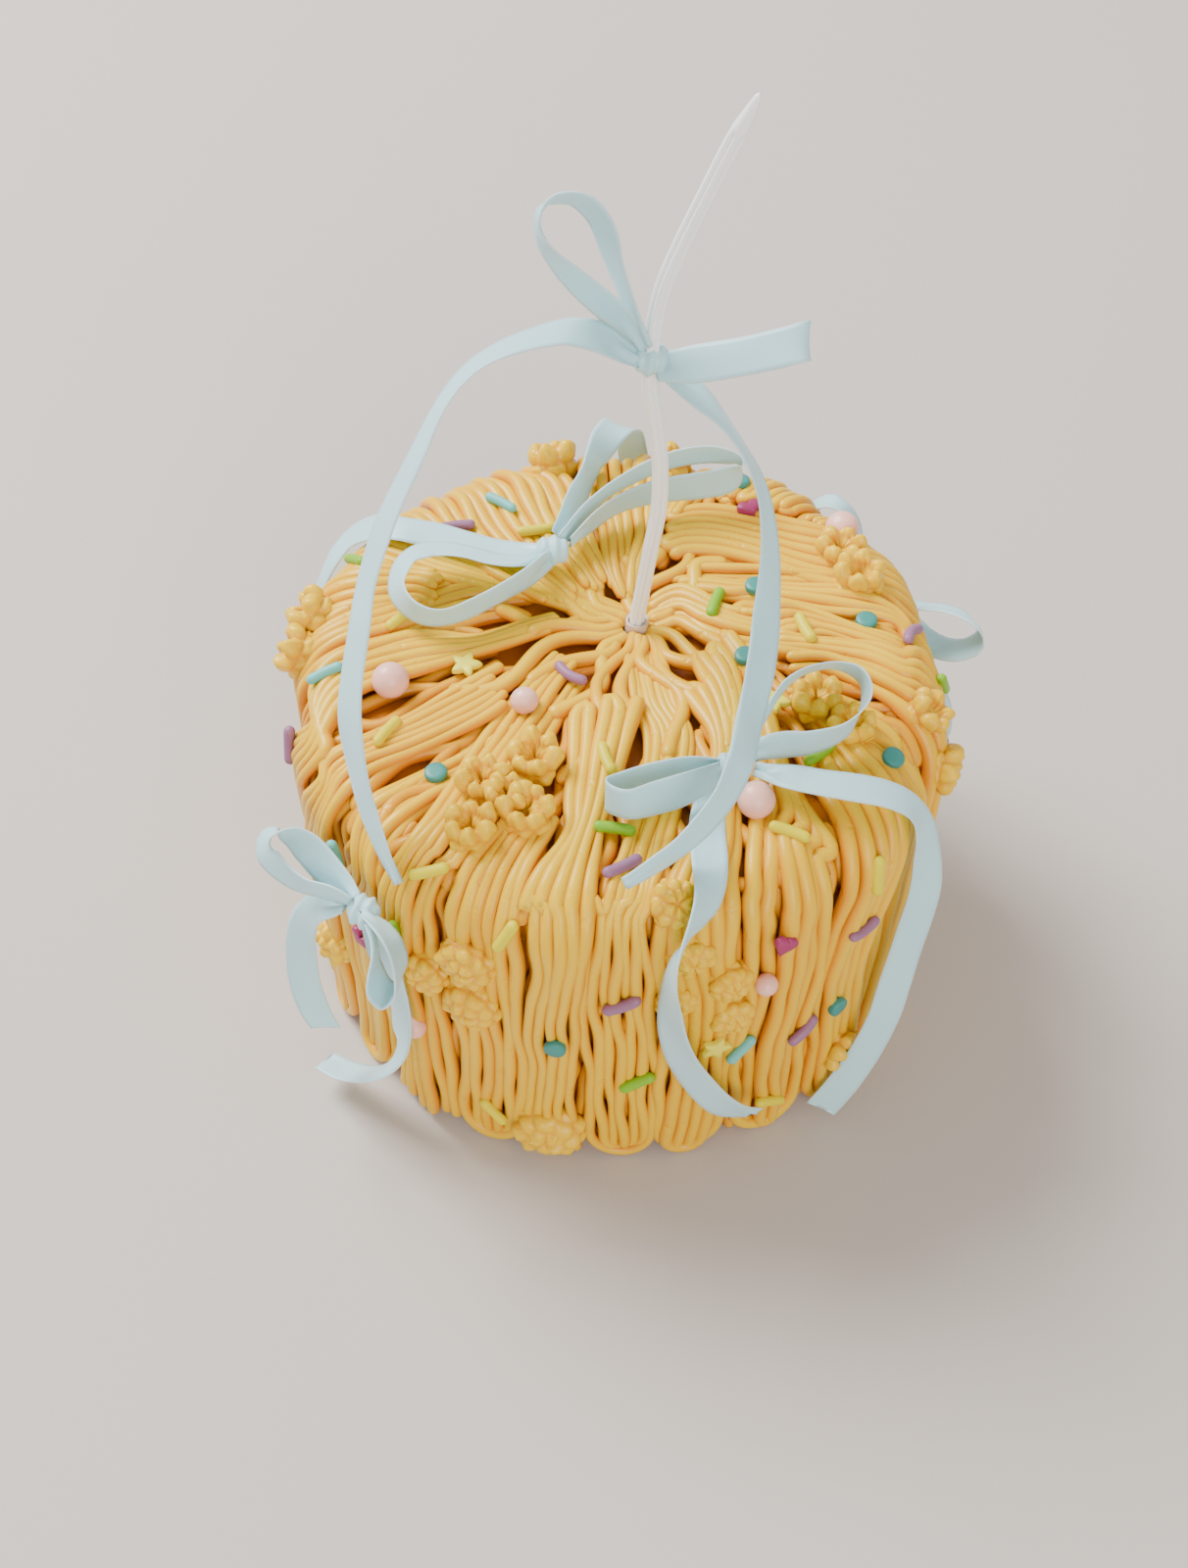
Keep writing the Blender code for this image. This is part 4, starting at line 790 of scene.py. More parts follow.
def buildCandle():
    # fluted rod: radius times 1 - 0.3 |cos(flutes a / 2)| to the fifth power, twisting
    # slowly, drawn to a point
    path, length = splinePoints(candleSet["line"], candleSet["stations"])
    t = unit(np.gradient(path, axis=0))
    side = unit(np.cross(t, np.array([0.0, 1.0, 0.0])))
    front = np.cross(side, t)
    run = np.linspace(0, length, candleSet["stations"])[:, None]
    left = length - run
    tip = candleSet["tip"]
    taper = np.where(left < tip, 0.30 + 0.70 * (left / tip) ** 0.8, 1.0)
    taper = np.where(left < candleSet["end"], 0.18, taper)
    a = circle(candleSet["sides"])
    groove = np.abs(np.cos(candleSet["flutes"] * a / 2 + run / 60.0)) ** 5
    flute = 1 - 0.30 * groove * (taper > 0.95)
    r = candleSet["radius"] * taper * flute * (1 + 0.015 * np.sin(run / 5.0))
    grid = (path[:, None] + side[:, None] * (r * np.cos(a))[..., None]
            + front[:, None] * (r * np.sin(a))[..., None])
    verts = np.concatenate([grid.reshape(-1, 3), path[:1], path[-1:] + t[-1:] * 0.1])
    return makeObject("candleWax", verts, *tubeFaces(candleSet["stations"], candleSet["sides"]))


# cup: radius and height from inside over the rim to the underside
cupSet = {
    "sides": 48, "stations": 60, "floor": 84.3, "under": 82.4,
    "outline": ((2.0, 84.4), (2.0, 90.9), (2.1, 91.4), (2.3, 91.6), (2.5, 91.4), (2.6, 91.0),
                (2.8, 83.0), (2.5, 82.5)),
}


def buildCup():
    # half outline turned about the hub; closed under and inside
    prof, _ = splinePoints(cupSet["outline"], cupSet["stations"])
    a = circle(cupSet["sides"])
    hub = np.array([*skinSet["hub"], 0.0])
    r, z = prof[:, :1], prof[:, 1:]
    grid = np.stack([r * np.cos(a), r * np.sin(a), z + 0 * a], -1) + hub
    poles = [hub + [0, 0, cupSet["floor"]], hub + [0, 0, cupSet["under"]]]
    verts = np.concatenate([grid.reshape(-1, 3), poles])
    quads, tris = tubeFaces(cupSet["stations"], cupSet["sides"])
    return makeObject("candleCup", verts, quads[:, ::-1], tris[:, ::-1])


# satin ribbon; each route below has rows of point, facing direction and, where it is
# not 1, share of the width
ribbonSet = {
    "width": 7.5, "thick": 0.32, "across": 9, "crown": 0.02, "rippleRun": 5.5, "pleat": 1.3,
    "loopStations": 110, "loopRipple": 0.25, "tailStations": 140, "tailRipple": 0.3,
    "knotRings": 25, "knotSides": 40,
}


def ribbonGrid(route, stations, ripple=0.0, seed=0.0):
    # thin strip: centre + width x across + the facing direction times a ripple that
    # grows with x squared and a pleat of cos(3 pi x) where the strip is drawn in;
    # its under side is the same grid moved back by the thickness
    rows = [(*p[:3], *unit(np.array(p[3:6], float)), *(p[6:] or (1.0,))) for p in route]
    line, length = splinePoints(rows, stations)
    path = line[:, :3]
    t = unit(np.gradient(path, axis=0))
    n = line[:, 3:6]
    n = unit(n - t * (n * t).sum(1, keepdims=True))
    w = np.cross(n, t)
    run = np.linspace(0, length, stations)[:, None]
    x = np.linspace(-0.5, 0.5, ribbonSet["across"])[None, :]
    width = ribbonSet["width"] * line[:, 6:7]
    curl = ripple * np.sin(run / ribbonSet["rippleRun"] + seed) * (x ** 2 * 4)
    pinch = (1 - line[:, 6:7]) * ribbonSet["pleat"] * np.cos(np.pi * 3 * x + seed)
    top = (path[:, None] + w[:, None] * (width * x)[..., None]
           + n[:, None] * (curl + pinch + ribbonSet["crown"])[..., None])
    low = top - n[:, None] * ribbonSet["thick"]
    ring = np.concatenate([top, low[:, ::-1]], 1)
    u = np.concatenate([x + 0.5, (x + 0.5)[:, ::-1]], 1) + 0 * run
    uv = np.stack([u, run + 0 * u], -1)
    uvs = np.concatenate([uv.reshape(-1, 2), [[0.5, 0.0]], [[0.5, length]]])
    quads, tris = tubeFaces(stations, ribbonSet["across"] * 2)
    return capped(ring), quads[:, ::-1], tris[:, ::-1], uvs, path * mm, length * mm


def joined(name, grids):
    # several grids in one mesh
    shifts = np.cumsum([0] + [len(grid[0]) for grid in grids[:-1]])
    moved = [(v, q + shift, t + shift, uv) for (v, q, t, uv), shift in zip(grids, shifts)]
    verts, quads, tris, uv = [np.concatenate(column) for column in zip(*moved)]
    return makeObject(name, verts, quads, tris, uv=uv)


def knotGrid(centre, size, facing, seed):
    # gathered knot: a rounded sleeve whose radius has soft pleats round it,
    # 1 + 0.12 sin(pleats along the width), pulled in at both ends
    n = unit(np.array(facing, float))
    t = unit(np.cross(n, up + 0.01))
    w = np.cross(n, t)
    rings, sides = ribbonSet["knotRings"], ribbonSet["knotSides"]
    v = np.linspace(-1, 1, rings)[:, None]
    a = circle(sides)
    swell = np.sqrt(np.clip(1 - np.abs(v) ** 2.6 * 0.75, 0, 1))
    pleat = 1 + 0.12 * np.sin(8 * v + 1.5 * np.sin(a) + seed) * np.cos(v * 1.2)
    rx, ry = size[1] * swell * pleat, size[2] * swell * pleat
    grid = (np.array(centre) + t * (size[0] * v)[..., None] + 0 * a[None, :, None]
            + n * (ry * np.sin(a))[..., None] + w * (rx * np.cos(a))[..., None])
    uv = np.stack([(v * 0.35 + 0.5) + 0 * a, 2.5 * a + 0 * v], -1).reshape(-1, 2)
    uv = np.concatenate([uv, [[0.5, 0.0]], [[0.5, 3.0]]])
    return capped(grid), *tubeFaces(rings, sides), uv


candleLoopL = (
    (4.4, 11.6, 167, -0.4, -0.8, -0.3, 0.45), (1.8, 11, 171.6, -0.2, -0.9, -0.3, 0.7),
    (-1.3, 10, 176.9, -0.2, -0.9, -0.3), (-6.4, 9, 182.7, -0.2, -0.9, -0.4),
    (-10.6, 7.6, 188.4, -0.4, -0.8, -0.5), (-13.6, 6.6, 193.7, -0.7, -0.6, -0.4),
    (-15, 6.4, 198.9, -1, -0.2, -0.1), (-14.3, 6.8, 201.9, -0.9, 0.2, 0.4),
    (-11.9, 7.8, 203.3, -0.3, 0.7, 0.7), (-7.3, 9, 202.2, 0.2, 0.8, 0.6),
    (-3.5, 9.4, 197.2, 0.6, 0.7, 0.3), (-1.5, 10.2, 189.5, 0.8, 0.6, 0.2),
    (0.8, 10.8, 180.8, 0.8, 0.5, 0.3), (2.9, 11.2, 174, 0.8, 0.6, 0.3, 0.8),
    (5.2, 11.6, 168.7, 0.6, 0.7, 0.3, 0.45),
)
candleLoopR = (
    (7.5, 10.4, 163.8, 0, -0.6, 0.8, 0.7), (14, 7.6, 167, 0, -0.6, 0.8),
    (24, 4.4, 171.6, 0, -0.6, 0.8), (32.5, 2.4, 175.6, 0, -0.6, 0.8), (35.6, 4, 175.4, 1, 0, 0),
    (32.5, 6.2, 172.4, 0, 0.6, -0.8), (24, 8, 168.4, 0, 0.6, -0.8),
    (14, 10.4, 164.6, 0, 0.6, -0.8), (7.5, 12, 163, 0, 0.6, -0.8, 0.7),
)
frontLoopL = (
    (21.2, -38.2, 99.6, 0.7, -0.7, 0.3, 0.5), (14.5, -44.2, 101.4, 0.6, -0.7, 0.3),
    (8.1, -47.5, 102, 0.4, -0.8, 0.4), (1.9, -49.6, 102.2, -0.1, -1, 0.2),
    (-2.5, -46.1, 101.2, -1, 0, 0), (0.8, -42.2, 99.9, -0.6, 0.8, 0),
    (7.9, -39.3, 99.8, -0.3, 0.9, 0), (14.6, -37.6, 99.8, -0.3, 1, 0),
    (21.2, -35.6, 99.4, -0.3, 1, 0, 0.5),
)
frontLoopR = (
    (24.3, -36, 98.8, 0.5, -0.8, 0.3, 0.4), (29, -33, 99.6, 0.3, -0.9, 0.3, 0.7),
    (34, -32.2, 100.4, 0.1, -1, 0.1), (39, -32, 100.8, 0.2, -1, 0),
    (44.1, -30.6, 101.4, 0.4, -0.9, -0.1), (48.3, -28.6, 103, 0.7, -0.7, -0.2),
    (51.2, -24.6, 104.6, 0.9, -0.3, -0.3), (51.8, -20.7, 105.6, 1, 0.1, -0.1),
    (50.5, -16.7, 106, 0.8, 0.6, 0.3), (47, -14.4, 106, 0.3, 0.8, 0.5),
    (43.2, -14, 105.6, -0.2, 0.8, 0.5), (38.8, -15.4, 104.8, -0.5, 0.7, 0.4),
    (34.5, -19.2, 103.6, -0.8, 0.6, 0.2, 0.9), (30.4, -25.9, 102.2, -0.8, 0.5, 0.1, 0.6),
    (25.3, -33.8, 101.2, -0.8, 0.5, 0, 0.35),
)
rearLoopL = (
    (-14.8, 25.4, 98.6, 0.9, -0.5, 0.1, 0.6), (-18.9, 18.1, 100, 0.8, -0.6, -0.1),
    (-25, 12.1, 100.4, 0.6, -0.8, -0.2), (-31.8, 7.4, 100.4, 0.5, -0.8, -0.2),
    (-38.2, 4.5, 100.6, 0.1, -1, -0.3), (-43.5, 5.5, 101, -0.5, -0.9, -0.1),
    (-47.2, 9.2, 101.6, -0.8, -0.5, 0.2), (-48.5, 14.2, 102, -0.8, -0.1, 0.6),
    (-47.2, 20.2, 102.4, -0.5, 0.2, 0.8), (-43.9, 23.4, 102.4, -0.1, 0.3, 0.9),
    (-39.6, 24.7, 102, 0, 0.3, 0.9), (-33.5, 23.5, 102.2, 0.1, 0.4, 0.9),
    (-27.5, 22.1, 101.8, 0.1, 0.4, 0.9), (-22, 22.5, 101, 0, 0.4, 0.9, 0.8),
    (-16.7, 25.5, 99.8, 0, 0.4, 0.9, 0.5),
)
rearLoopR = (
    (-12.7, 30.2, 99.4, -0.8, 0.6, 0.1, 0.6), (-7.9, 37, 101.4, -0.8, 0.6, 0.2),
    (-2.6, 41.5, 103.4, -0.6, 0.7, 0.3), (3.5, 44.8, 105.4, -0.5, 0.8, 0.3),
    (8.8, 47.1, 107, -0.4, 0.9, 0.3), (14.5, 49.1, 108, -0.2, 0.9, 0.3),
    (20.7, 49.7, 108.6, 0, 0.9, 0.3), (26.1, 49.2, 108, 0.3, 0.9, 0.4),
    (29.1, 48.1, 106.2, 1, 0, 0), (26.1, 45.8, 104.2, 0.3, -0.9, 0.1),
    (20, 45, 103, 0.1, -1, 0.1), (12.8, 44.5, 102, 0.1, -1, 0),
    (6.6, 43.3, 101.2, 0.3, -0.9, -0.1), (0.5, 40.8, 100.6, 0.5, -0.8, -0.2),
    (-4.9, 36.3, 100, 0.7, -0.7, -0.2), (-10.3, 30.4, 98.8, 0.7, -0.7, -0.1, 0.6),
)
sideLoopB = (
    (65.6, 41.6, 65.9, 0.6, 0.1, 0.8, 0.6), (62.9, 47.6, 66.8, 0.7, 0, 0.7),
    (59.8, 51.8, 71.5, 0.9, -0.2, 0.4), (59, 52.5, 77.7, 0.9, -0.4, 0.2),
    (57.8, 54, 82.7, 0.9, -0.2, 0.5), (55.1, 55.6, 86.6, 0.6, 0.1, 0.8),
    (51.9, 57.6, 86.8, -0.2, 0.4, 0.9), (49.5, 60, 82.7, -0.9, 0.2, 0.4),
    (48.5, 61.6, 76.4, -0.9, -0.3, -0.1), (50.8, 62.4, 68.2, -0.8, -0.5, -0.3),
    (56, 58.5, 63.1, -0.8, -0.6, -0.3), (61.8, 50, 62.5, -0.8, -0.5, -0.3, 0.9),
    (65.8, 42.4, 64.1, -0.8, -0.5, -0.3, 0.5),
)
sideLoopF = (
    (66.4, 40, 66.7, -0.7, 0.4, 0.6, 0.6), (68.6, 37, 71.7, -0.5, 0.6, 0.7),
    (71.8, 33, 75.9, -0.2, 0.6, 0.8), (75.5, 28.5, 80, -0.1, 0.6, 0.8),
    (79.2, 24, 83.2, 0.2, 0.5, 0.8), (82.9, 21, 82.9, 0.6, 0.4, 0.7),
    (85, 19.6, 80.1, 1, 0, 0.1), (83.7, 20, 76.4, 0.8, -0.1, -0.5),
    (80.6, 22.5, 72.2, 0.6, -0.2, -0.8), (76.9, 27, 68.7, 0.3, -0.2, -0.9),
    (73.4, 31.5, 67.8, 0, -0.2, -1), (70.6, 36.5, 66.6, 0.1, -0.2, -1, 0.9),
    (67.3, 40.4, 65.1, 0.1, -0.3, -0.9, 0.5),
)
leftLoopU = (
    (-53.9, -59, 82.4, -0.4, -0.9, -0.1, 0.5), (-57.8, -57.5, 82.2, -0.4, -0.9, -0.2),
    (-63.1, -55, 81.4, -0.5, -0.9, -0.2), (-68, -52, 81.7, -0.6, -0.8, 0.1),
    (-71.8, -49, 84, -0.6, -0.8, 0.3), (-72.3, -47, 86.5, -0.8, -0.3, 0.5),
    (-70.1, -46, 88.8, -0.3, 0.7, 0.7), (-67.2, -46, 87.7, 0.3, 1, 0),
    (-63.5, -48, 85.8, 0.3, 0.8, -0.5), (-59.8, -51, 83, 0.3, 0.8, -0.5),
    (-55.9, -54.5, 81.3, 0.6, 0.7, -0.5, 0.8), (-53.6, -57.5, 81.1, 0.7, 0.6, -0.4, 0.45),
)
leftLoopD = (
    (-51.3, -62, 83.4, 0.4, 0.5, 0.8, 0.5), (-47.6, -66, 83.7, 0.6, 0.4, 0.7),
    (-44.8, -69.5, 81.8, 0.9, 0, 0.5), (-43.6, -72, 76.7, 0.9, -0.3, -0.1),
    (-44.5, -73, 71.7, 0.6, -0.2, -0.8), (-47, -72.6, 68, -0.1, 0, -1),
    (-49.2, -71.6, 70.4, -0.8, 0.3, -0.6), (-49.6, -70, 74.5, -0.9, 0.3, 0.1),
    (-49.2, -67.4, 78.1, -0.9, 0.3, 0.2, 0.8), (-50.6, -63.4, 81, -0.9, 0.5, 0.2, 0.45),
)
# each bow: its two loops, then the knot's centre, half sizes and facing direction
bowSet = {
    "bow_candle": (candleLoopL, candleLoopR, (6.2, 11.8, 164.8), (3.4, 3.2, 3.0), toView),
    "bow_front": (frontLoopL, frontLoopR, (24.0, -36.6, 99.4), (3.6, 3.0, 2.6), toView),
    "bow_rear": (rearLoopL, rearLoopR, (-14.3, 27.6, 98.8), (3.6, 3.2, 2.6), toView),
    "bow_right": (sideLoopB, sideLoopF, (66.8, 41.2, 65.0), (3.2, 3.4, 2.6), (0.8, 0.5, 0.2)),
    "bow_left": (leftLoopU, leftLoopD, (-51.8, -60.2, 80.6), (3.2, 3.4, 2.6), toView - right * 0.4),
}
# the free end of each ribbon, from its knot to its tip
tailSet = {
    "tail_candle_left": (
        (4, 10.2, 165.9, 0.7, -0.5, 0.5, 0.45), (1.8, 9.2, 168.1, 0.8, -0.4, 0.5, 0.6),
        (-2.8, 6.8, 173.1, 0.7, -0.2, 0.7), (-7.4, 5, 176.1, 0.5, -0.1, 0.9),
        (-12.7, 3, 177.8, 0.1, 0.1, 1), (-20.5, -0.5, 177.7, -0.2, 0.2, 1),
        (-27.6, -5, 175.8, -0.5, 0.2, 0.8), (-33.3, -10, 171.3, -0.8, 0.1, 0.7),
        (-38, -15, 164.5, -0.8, -0.1, 0.6), (-42.1, -19, 157.1, -0.8, -0.2, 0.5),
        (-45.1, -22.5, 150.4, -0.8, -0.3, 0.5), (-48.8, -27, 140.8, -0.8, -0.3, 0.5),
        (-50.4, -32, 134.7, -0.8, -0.4, 0.5), (-51.9, -37, 126, -0.8, -0.5, 0.4),
        (-52.5, -42, 117.5, -0.7, -0.6, 0.3), (-51.7, -47, 107.4, -0.8, -0.6, 0.2),
        (-49.9, -51, 100.6, -0.8, -0.6, 0.2), (-46.8, -56, 94.6, -0.8, -0.6, 0.1, 0.85),
        (-44.1, -60, 89.8, -0.8, -0.7, 0.1, 0.3),
    ),
    "tail_candle_right": (
        (8.9, 12.4, 161.5, 0.7, -0.3, 0.7, 0.45), (10.9, 12.6, 159.5, 0.5, -0.2, 0.8, 0.6),
        (16.1, 10.5, 156.6, 0.5, -0.1, 0.9), (20.9, 8, 153.1, 0.7, 0.1, 0.7),
        (25.1, 5, 148.4, 0.8, 0.1, 0.5), (28.1, 2, 142.4, 0.9, -0.1, 0.4),
        (29.9, -1, 136.1, 0.9, -0.3, 0.3), (31.4, -6, 125.9, 0.8, -0.5, 0.4),
        (30.6, -14, 116.7, 0.6, -0.6, 0.6), (29.2, -22, 113, 0.6, -0.4, 0.7),
        (27.5, -30, 109.5, 0.7, -0.2, 0.7), (25.1, -43.2, 112, 0.8, -0.1, 0.7),
        (23.2, -48.3, 110.5, 0.7, -0.5, 0.5), (20.6, -52.9, 108.6, 0.7, -0.6, 0.3),
        (17, -57.3, 106.4, 0.7, -0.7, 0.2), (12.5, -61.4, 103.8, 0.6, -0.8, 0),
        (8.4, -63.7, 101.6, 0.5, -0.9, -0.1, 0.9), (3.8, -65.8, 99.6, 0.4, -0.9, -0.2, 0.6),
        (1.3, -66.6, 98.6, 0.4, -0.9, -0.3, 0.3),
    ),
    "tail_front_right": (
        (28.2, -37, 98.8, 0, 0.1, 1, 0.45), (30.9, -37.9, 99, -0.2, 0.2, 1, 0.6),
        (35.2, -40.1, 100.6, -0.1, 0.2, 1), (41.6, -42.1, 101, 0, 0.1, 1),
        (48.2, -43.2, 100.4, 0.2, 0, 1), (55, -43.5, 98.4, 0.4, 0, 0.9),
        (60.5, -43.6, 94.6, 0.8, -0.1, 0.7), (64, -44, 88, 0.8, -0.5, 0.3),
        (65.4, -44.7, 80, 0.6, -0.8, 0.2), (65.8, -46.5, 71, 0.3, -0.9, 0.2),
        (64.9, -48.2, 61.5, 0.2, -1, 0.2), (63.7, -50.1, 52, 0.2, -1, 0.2),
        (62.1, -52.3, 42.5, 0.1, -1, 0.2), (60.4, -54.7, 33, 0.1, -1, 0.2),
        (57.2, -57.2, 21.5, 0, -1, 0.2), (53.2, -59.3, 12.5, -0.1, -1, 0.2),
        (48.6, -60.8, 4, -0.1, -1, 0.2),
    ),
    "tail_front_down": (
        (20.9, -38.5, 97, 0.4, -0.5, 0.7, 0.5), (20.3, -39.9, 96.4, 0.1, -0.1, 1, 0.6),
        (18.8, -44.8, 96.1, 0.1, -0.1, 1, 0.9), (18.1, -51.2, 96.2, 0.1, -0.1, 1),
        (18.3, -59.2, 96.4, 0.2, -0.3, 0.9), (18, -65.6, 94.8, 0.6, -0.3, 0.7),
        (16.3, -70.5, 92.8, 0.8, -0.6, 0.2), (13.4, -74.7, 89, 0.9, -0.4, -0.2),
        (11.4, -76.9, 83, 1, 0.1, -0.2), (10.9, -76.9, 72.9, 0.8, 0.5, 0),
        (12.1, -76.4, 60, 0.5, 0.8, 0.1), (15.2, -75.6, 45.9, 0.2, 1, 0.1),
        (20.1, -74.4, 33.5, 0, 1, 0.1), (25.6, -72.7, 24.1, -0.1, 1, 0.2),
        (31.7, -70.5, 18.6, -0.1, 1, 0.3, 0.7),
    ),
    "tail_rear_left": (
        (-16.5, 27.6, 98.8, -0.5, 0.2, 0.9, 0.6), (-18.8, 29, 97.2, -0.3, 0.1, 0.9, 0.7),
        (-23.1, 29.6, 96.4, -0.1, 0.1, 1), (-28.4, 30.7, 96.2, 0, 0.1, 1),
        (-34.6, 32.7, 96.3, 0, 0, 1), (-41.6, 35.2, 96.6, 0, -0.1, 1),
        (-49.3, 37, 97, -0.1, 0, 1), (-55.4, 39.4, 95, -0.6, 0, 0.8),
        (-61.7, 43, 88.5, -0.7, 0, 0.7), (-66.4, 41.5, 83.7, -0.8, -0.1, 0.6),
        (-69.7, 39.5, 78.2, -0.9, -0.1, 0.5), (-71.7, 37.5, 72.9, -0.9, -0.2, 0.4),
        (-73.6, 35.5, 67.6, -0.9, -0.2, 0.4, 0.9),
    ),
    "tail_rear_back": (
        (-13.2, 32.6, 98.8, 0.8, -0.3, 0.5, 0.6), (-11.9, 36.4, 98.8, 0.8, -0.3, 0.5, 0.7),
        (-9.4, 43.9, 98.8, 0.9, -0.3, 0.4), (-7.2, 49.4, 99, 0.9, -0.3, 0.3),
        (-5.5, 55.1, 99, 0.9, -0.4, 0.3), (-4, 58.5, 100.7, 0.8, -0.4, 0.5),
        (-2.1, 63.5, 101.2, 0.5, -0.3, 0.8), (0.6, 68.4, 100.8, 0.3, 0.2, 0.9),
        (3, 73, 96.1, 0.2, 0.7, 0.7), (4.4, 76.5, 88.1, 0.2, 0.9, 0.2),
        (5.1, 79, 80.1, 0.1, 1, 0.1), (5.2, 80.4, 71.7, 0.1, 1, 0, 0.9),
    ),
    "tail_right_front": (
        (68.1, 37.5, 65.1, 0.4, 0.2, 0.9, 0.6), (69.2, 35, 65.2, 0.5, 0.1, 0.8, 0.7),
        (72.2, 29, 64, 0.6, 0.1, 0.8), (75.7, 24, 62.3, 0.6, 0.1, 0.8),
        (78.1, 19.5, 60.1, 0.8, -0.2, 0.6), (79.2, 17, 55.8, 0.8, -0.5, 0.2),
        (79.2, 16.5, 48.5, 0.7, -0.7, 0), (78.7, 17.5, 39.4, 0.7, -0.7, -0.1),
        (78.4, 19.5, 29.8, 0.7, -0.7, -0.2), (78.2, 22, 20.7, 0.8, -0.6, -0.2, 0.9),
    ),
    "tail_right_back": (
        (68, 43.2, 62, 0.8, 0.6, 0.2, 0.6), (69, 44.6, 59.5, 0.8, 0.6, 0.2, 0.7),
        (69, 47.2, 53, 0.8, 0.6, 0.1), (67.6, 49.4, 45, 0.8, 0.6, 0),
        (66.2, 51.2, 37, 0.7, 0.7, 0), (65, 52.4, 29, 0.7, 0.7, 0),
        (64.2, 53.4, 17, 0.7, 0.7, 0, 0.9),
    ),
    "tail_left_outer": (
        (-55.7, -57, 78.4, -0.2, 0.4, 0.9, 0.5), (-57.4, -56, 77.4, -0.5, 0.2, 0.9, 0.7),
        (-62, -54.5, 74.4, -0.8, -0.1, 0.6), (-65.9, -53, 67.2, -0.7, -0.7, 0.2),
        (-68, -52.6, 56.9, -0.4, -0.9, 0), (-68.9, -52.6, 44.6, -0.2, -1, 0),
        (-67.8, -52.4, 33, -0.1, -1, 0), (-66.1, -52, 24.3, -0.1, -1, -0.1, 0.95),
    ),
    "tail_left_down": (
        (-51.5, -60, 77.2, -0.5, -0.8, 0.3, 0.5), (-50.8, -59.8, 73, -0.5, -0.8, 0.3, 0.6),
        (-49, -61, 65.5, -0.5, -0.8, 0.3), (-47.6, -61.6, 55.9, -0.6, -0.7, 0.3),
        (-47, -61.8, 45.9, -0.8, -0.7, 0), (-47.3, -61.8, 36.1, -0.8, -0.5, 0.1),
        (-48.6, -61.4, 28.1, -0.7, -0.1, 0.7), (-51.7, -60.4, 21.4, -0.4, 0.2, 0.9),
        (-56.1, -58, 14.8, -0.1, 0.3, 0.9), (-62.8, -53.6, 8.3, 0, 0.3, 0.9),
        (-68.5, -49.6, 6.1, 0, 0.3, 0.9, 0.85),
    ),
}


def buildBows():
    # each bow is two ribbon loops and a gathered knot in one mesh
    bows = {}
    for i, (node, (one, two, centre, size, facing)) in enumerate(bowSet.items()):
        grids = [ribbonGrid(loop, ribbonSet["loopStations"], ribbonSet["loopRipple"], seed)[:4]
                 for loop, seed in ((one, i), (two, i + 2))]
        obj = joined("satin" + node.title().replace("_", ""),
                     [*grids, knotGrid(centre, size, facing, i)])
        obj.data.materials.append(satin)
        bows[node] = own(obj, node)
    return bows


def buildTails(bows):
    # each tail is a ribbon strip in an object of its own; the name of its bow goes into a set that
    # nothing reads
    lengths, carried = {}, set()
    for i, (node, route) in enumerate(tailSet.items()):
        verts, quads, tris, uv, path, length = ribbonGrid(
            route, ribbonSet["tailStations"], ribbonSet["tailRipple"], 1.3 * i)
        obj = makeObject("satin" + node.title().replace("_", ""), verts, quads, tris, uv=uv)
        obj.data.materials.append(satin)
        own(obj, node)
        bow = bows["bow_" + node.split("_")[1]]
        carried.add(bow.name)
        lengths[node] = round(length * 1000)
    print("ribbon tails in mm:", lengths)


def surfaceTree(pieces):
    # one search tree over the triangles of these pieces
    corners, faces = [], []
    for piece in pieces:
        spots = np.empty(len(piece.data.vertices) * 3, np.float32)
        piece.data.vertices.foreach_get("co", spots)
        piece.data.calc_loop_triangles()
        tri = np.empty(len(piece.data.loop_triangles) * 3, np.int32)
        piece.data.loop_triangles.foreach_get("vertices", tri)
        faces.append(tri.reshape(-1, 3) + sum(len(c) for c in corners))
        corners.append(spots.reshape(-1, 3))
    return BVHTree.FromPolygons(np.concatenate(corners).tolist(),
                                np.concatenate(faces).tolist(), all_triangles=True)


# build
creamPieces = [buildCore(), *buildUnder(), *buildSwaths(), buildStars()]
for piece in creamPieces:
    own(piece, "cake")
creamTree = surfaceTree(creamPieces[1:])
print("cream done")

sugar = sprinkleSet["colours"]
for kind, rows in sprinkleSet["rods"].items():
    piece = own(buildRods(kind, rows), "cake")
    piece.data.materials.append(
        plainLook("sugar" + kind, sugar[kind], 0.42, Specular_IOR_Level=0.3))
for kind, thick in (("disc", 1.7), ("heart", 1.9), ("star", 1.7)):
    piece = own(buildFlats(kind, sprinkleSet[kind + "s"], thick), "cake")
    piece.data.materials.append(plainLook("sugar" + kind, sugar[kind], 0.45))
print("sugar done")

pearlMat = plainLook("pearl", (0.86, 0.47, 0.38), 0.36, Subsurface_Weight=0.25,
                     Subsurface_Radius=(1.0, 0.5, 0.4), Subsurface_Scale=0.0015, Coat_Weight=0.1)
for number, row in enumerate(pearlSet["places"], 1):
    buildPearl(number, *row)

candle = own(buildCandle(), "candle")
candle.data.materials.append(
    plainLook("wax", (0.93, 0.93, 0.94), 0.22, grain=120.0, bump=0.08, Subsurface_Weight=0.3,
              Subsurface_Radius=(1.0, 0.9, 0.8), Subsurface_Scale=0.0012, Coat_Weight=0.4,
              Coat_Roughness=0.12))
cup = own(buildCup(), "candle_holder")
cup.data.materials.append(
    plainLook("cup", (0.95, 0.76, 0.62), 0.25, Transmission_Weight=0.35, IOR=1.4))
buildTails(buildBows())
print("candle and ribbons done")


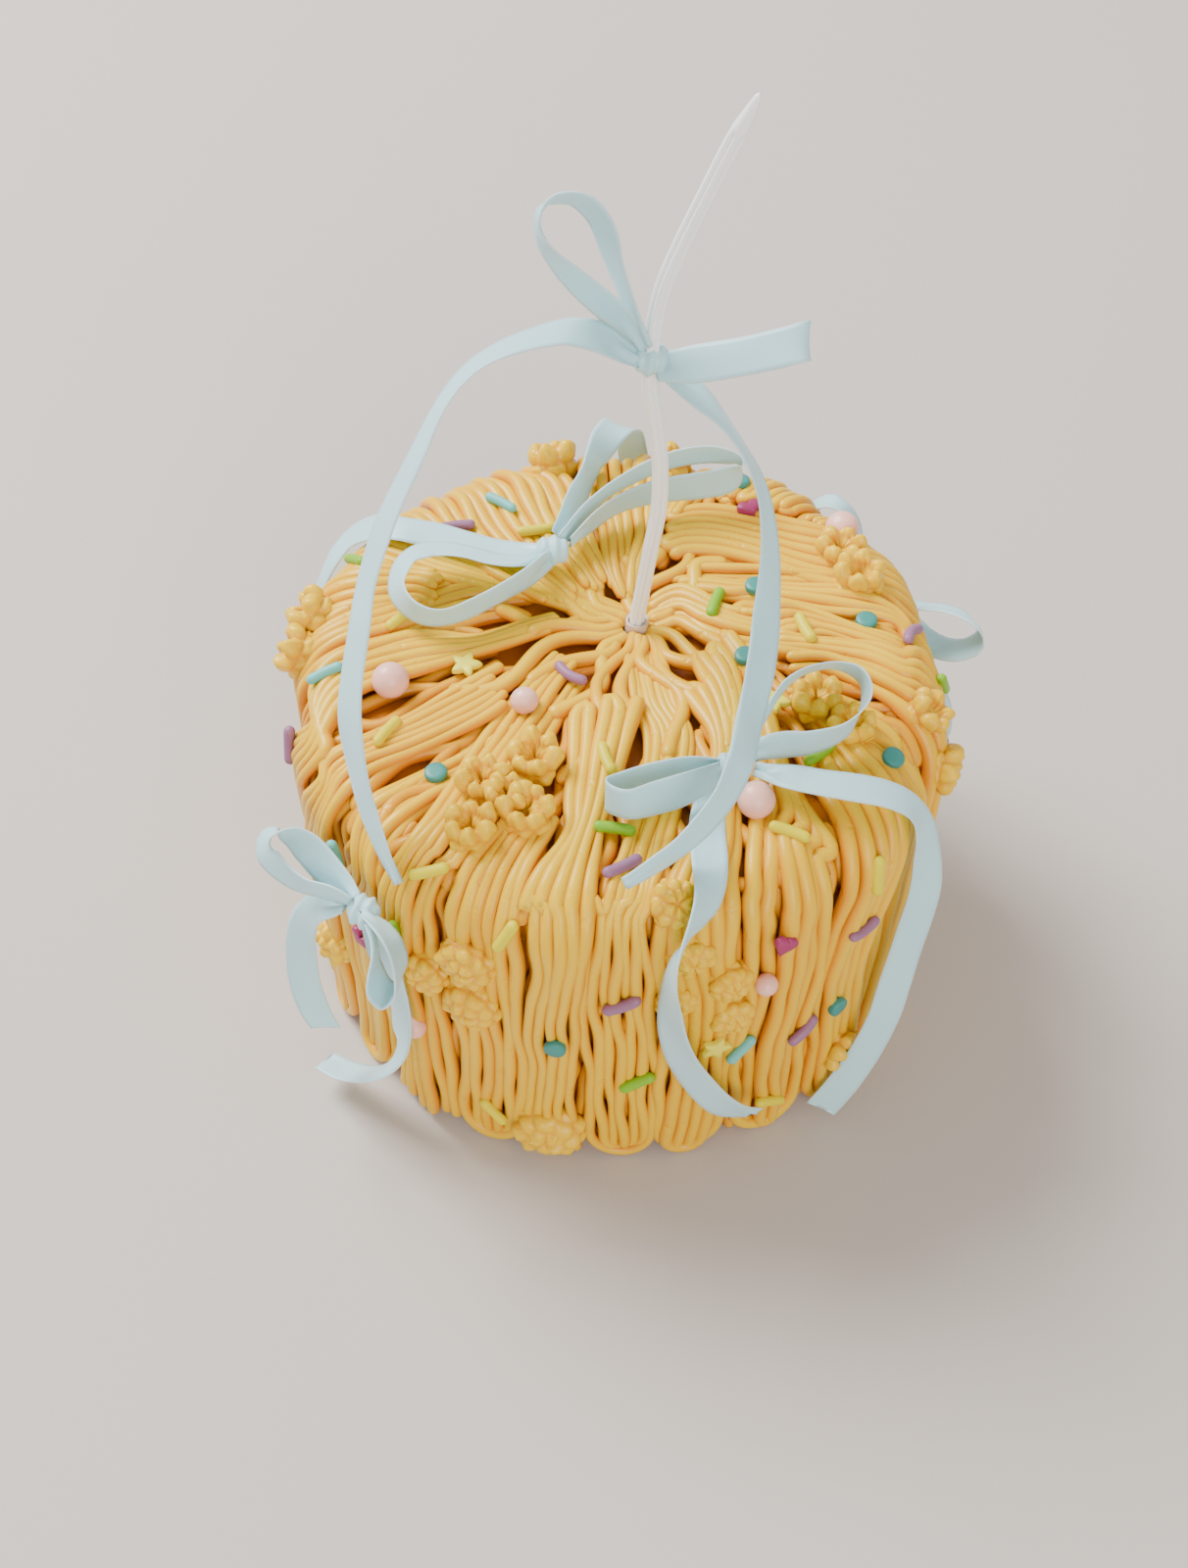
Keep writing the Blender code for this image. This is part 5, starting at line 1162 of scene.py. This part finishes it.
# setting: a plain pale floor, soft window light from behind on the left and a weaker
# warm fill from the viewer's side
def floorLook():
    # two near pale tones mixed by a broad noise
    look = Look("floor")
    tone = look.noise(look.coords(), 3.0, 2.0)
    colour = look.mixColour(tone, (0.465, 0.415, 0.375), (0.485, 0.435, 0.395))
    look.set(Base_Color=colour, Roughness=0.75)
    look.bump(look.noise(look.coords(), 260.0, 3.0), 0.06, 0.0004)
    return look.material


def turned(x, y, z, at):
    # a lamp's or camera's place from its three axes and its position
    axes = np.column_stack([x, y, z, at])
    return Matrix(np.vstack([axes, [0, 0, 0, 1]]).tolist())


bpy.ops.mesh.primitive_plane_add(size=8.0, location=(0, 0, 0))
floor = bpy.context.object
floor.name = "floor"
floor.data.materials.append(floorLook())

aimAt = np.array([0.0, 0.0, 0.06])
lightSet = {
    "window": {"at": (-1.15, 0.95, 1.75), "size": 1.3, "power": 118.0, "colour": (0.98, 0.99, 1.0)},
    "fill": {"at": (0.5, -2.0, 1.15), "size": 1.6, "power": 42.0, "colour": (1.0, 0.96, 0.91)},
}
for name, values in lightSet.items():
    data = bpy.data.lights.new(name, "AREA")
    data.shape = "DISK"
    data.size = values["size"]
    data.energy = values["power"]
    data.color = values["colour"]
    lamp = bpy.data.objects.new(name, data)
    scene.collection.objects.link(lamp)
    here = np.array(values["at"])
    aim = unit(here - aimAt)
    sideways = unit(np.cross(up, aim))
    lamp.matrix_world = turned(sideways, np.cross(aim, sideways), aim, here)

world = bpy.data.worlds.new("room")
scene.world = world
world.use_nodes = True
world.node_tree.nodes["Background"].inputs["Color"].default_value = (1.0, 0.975, 0.95, 1.0)
world.node_tree.nodes["Background"].inputs["Strength"].default_value = 0.80

cameraSet = {"at": (-0.004726, -0.29728, 0.405484), "lens": 45.02,
             "x": (0.999995, 0.002473, 0.002065), "y": (-0.003222, 0.767567, 0.640961),
             "z": (0.0, -0.640965, 0.767571)}
data = bpy.data.cameras.new("view")
data.sensor_fit = "VERTICAL"
data.sensor_height = 36.0
data.lens = cameraSet["lens"]
data.clip_start = 0.01
camera = bpy.data.objects.new("view", data)
scene.collection.objects.link(camera)
camera.matrix_world = turned(cameraSet["x"], cameraSet["y"], cameraSet["z"], cameraSet["at"])
scene.camera = camera
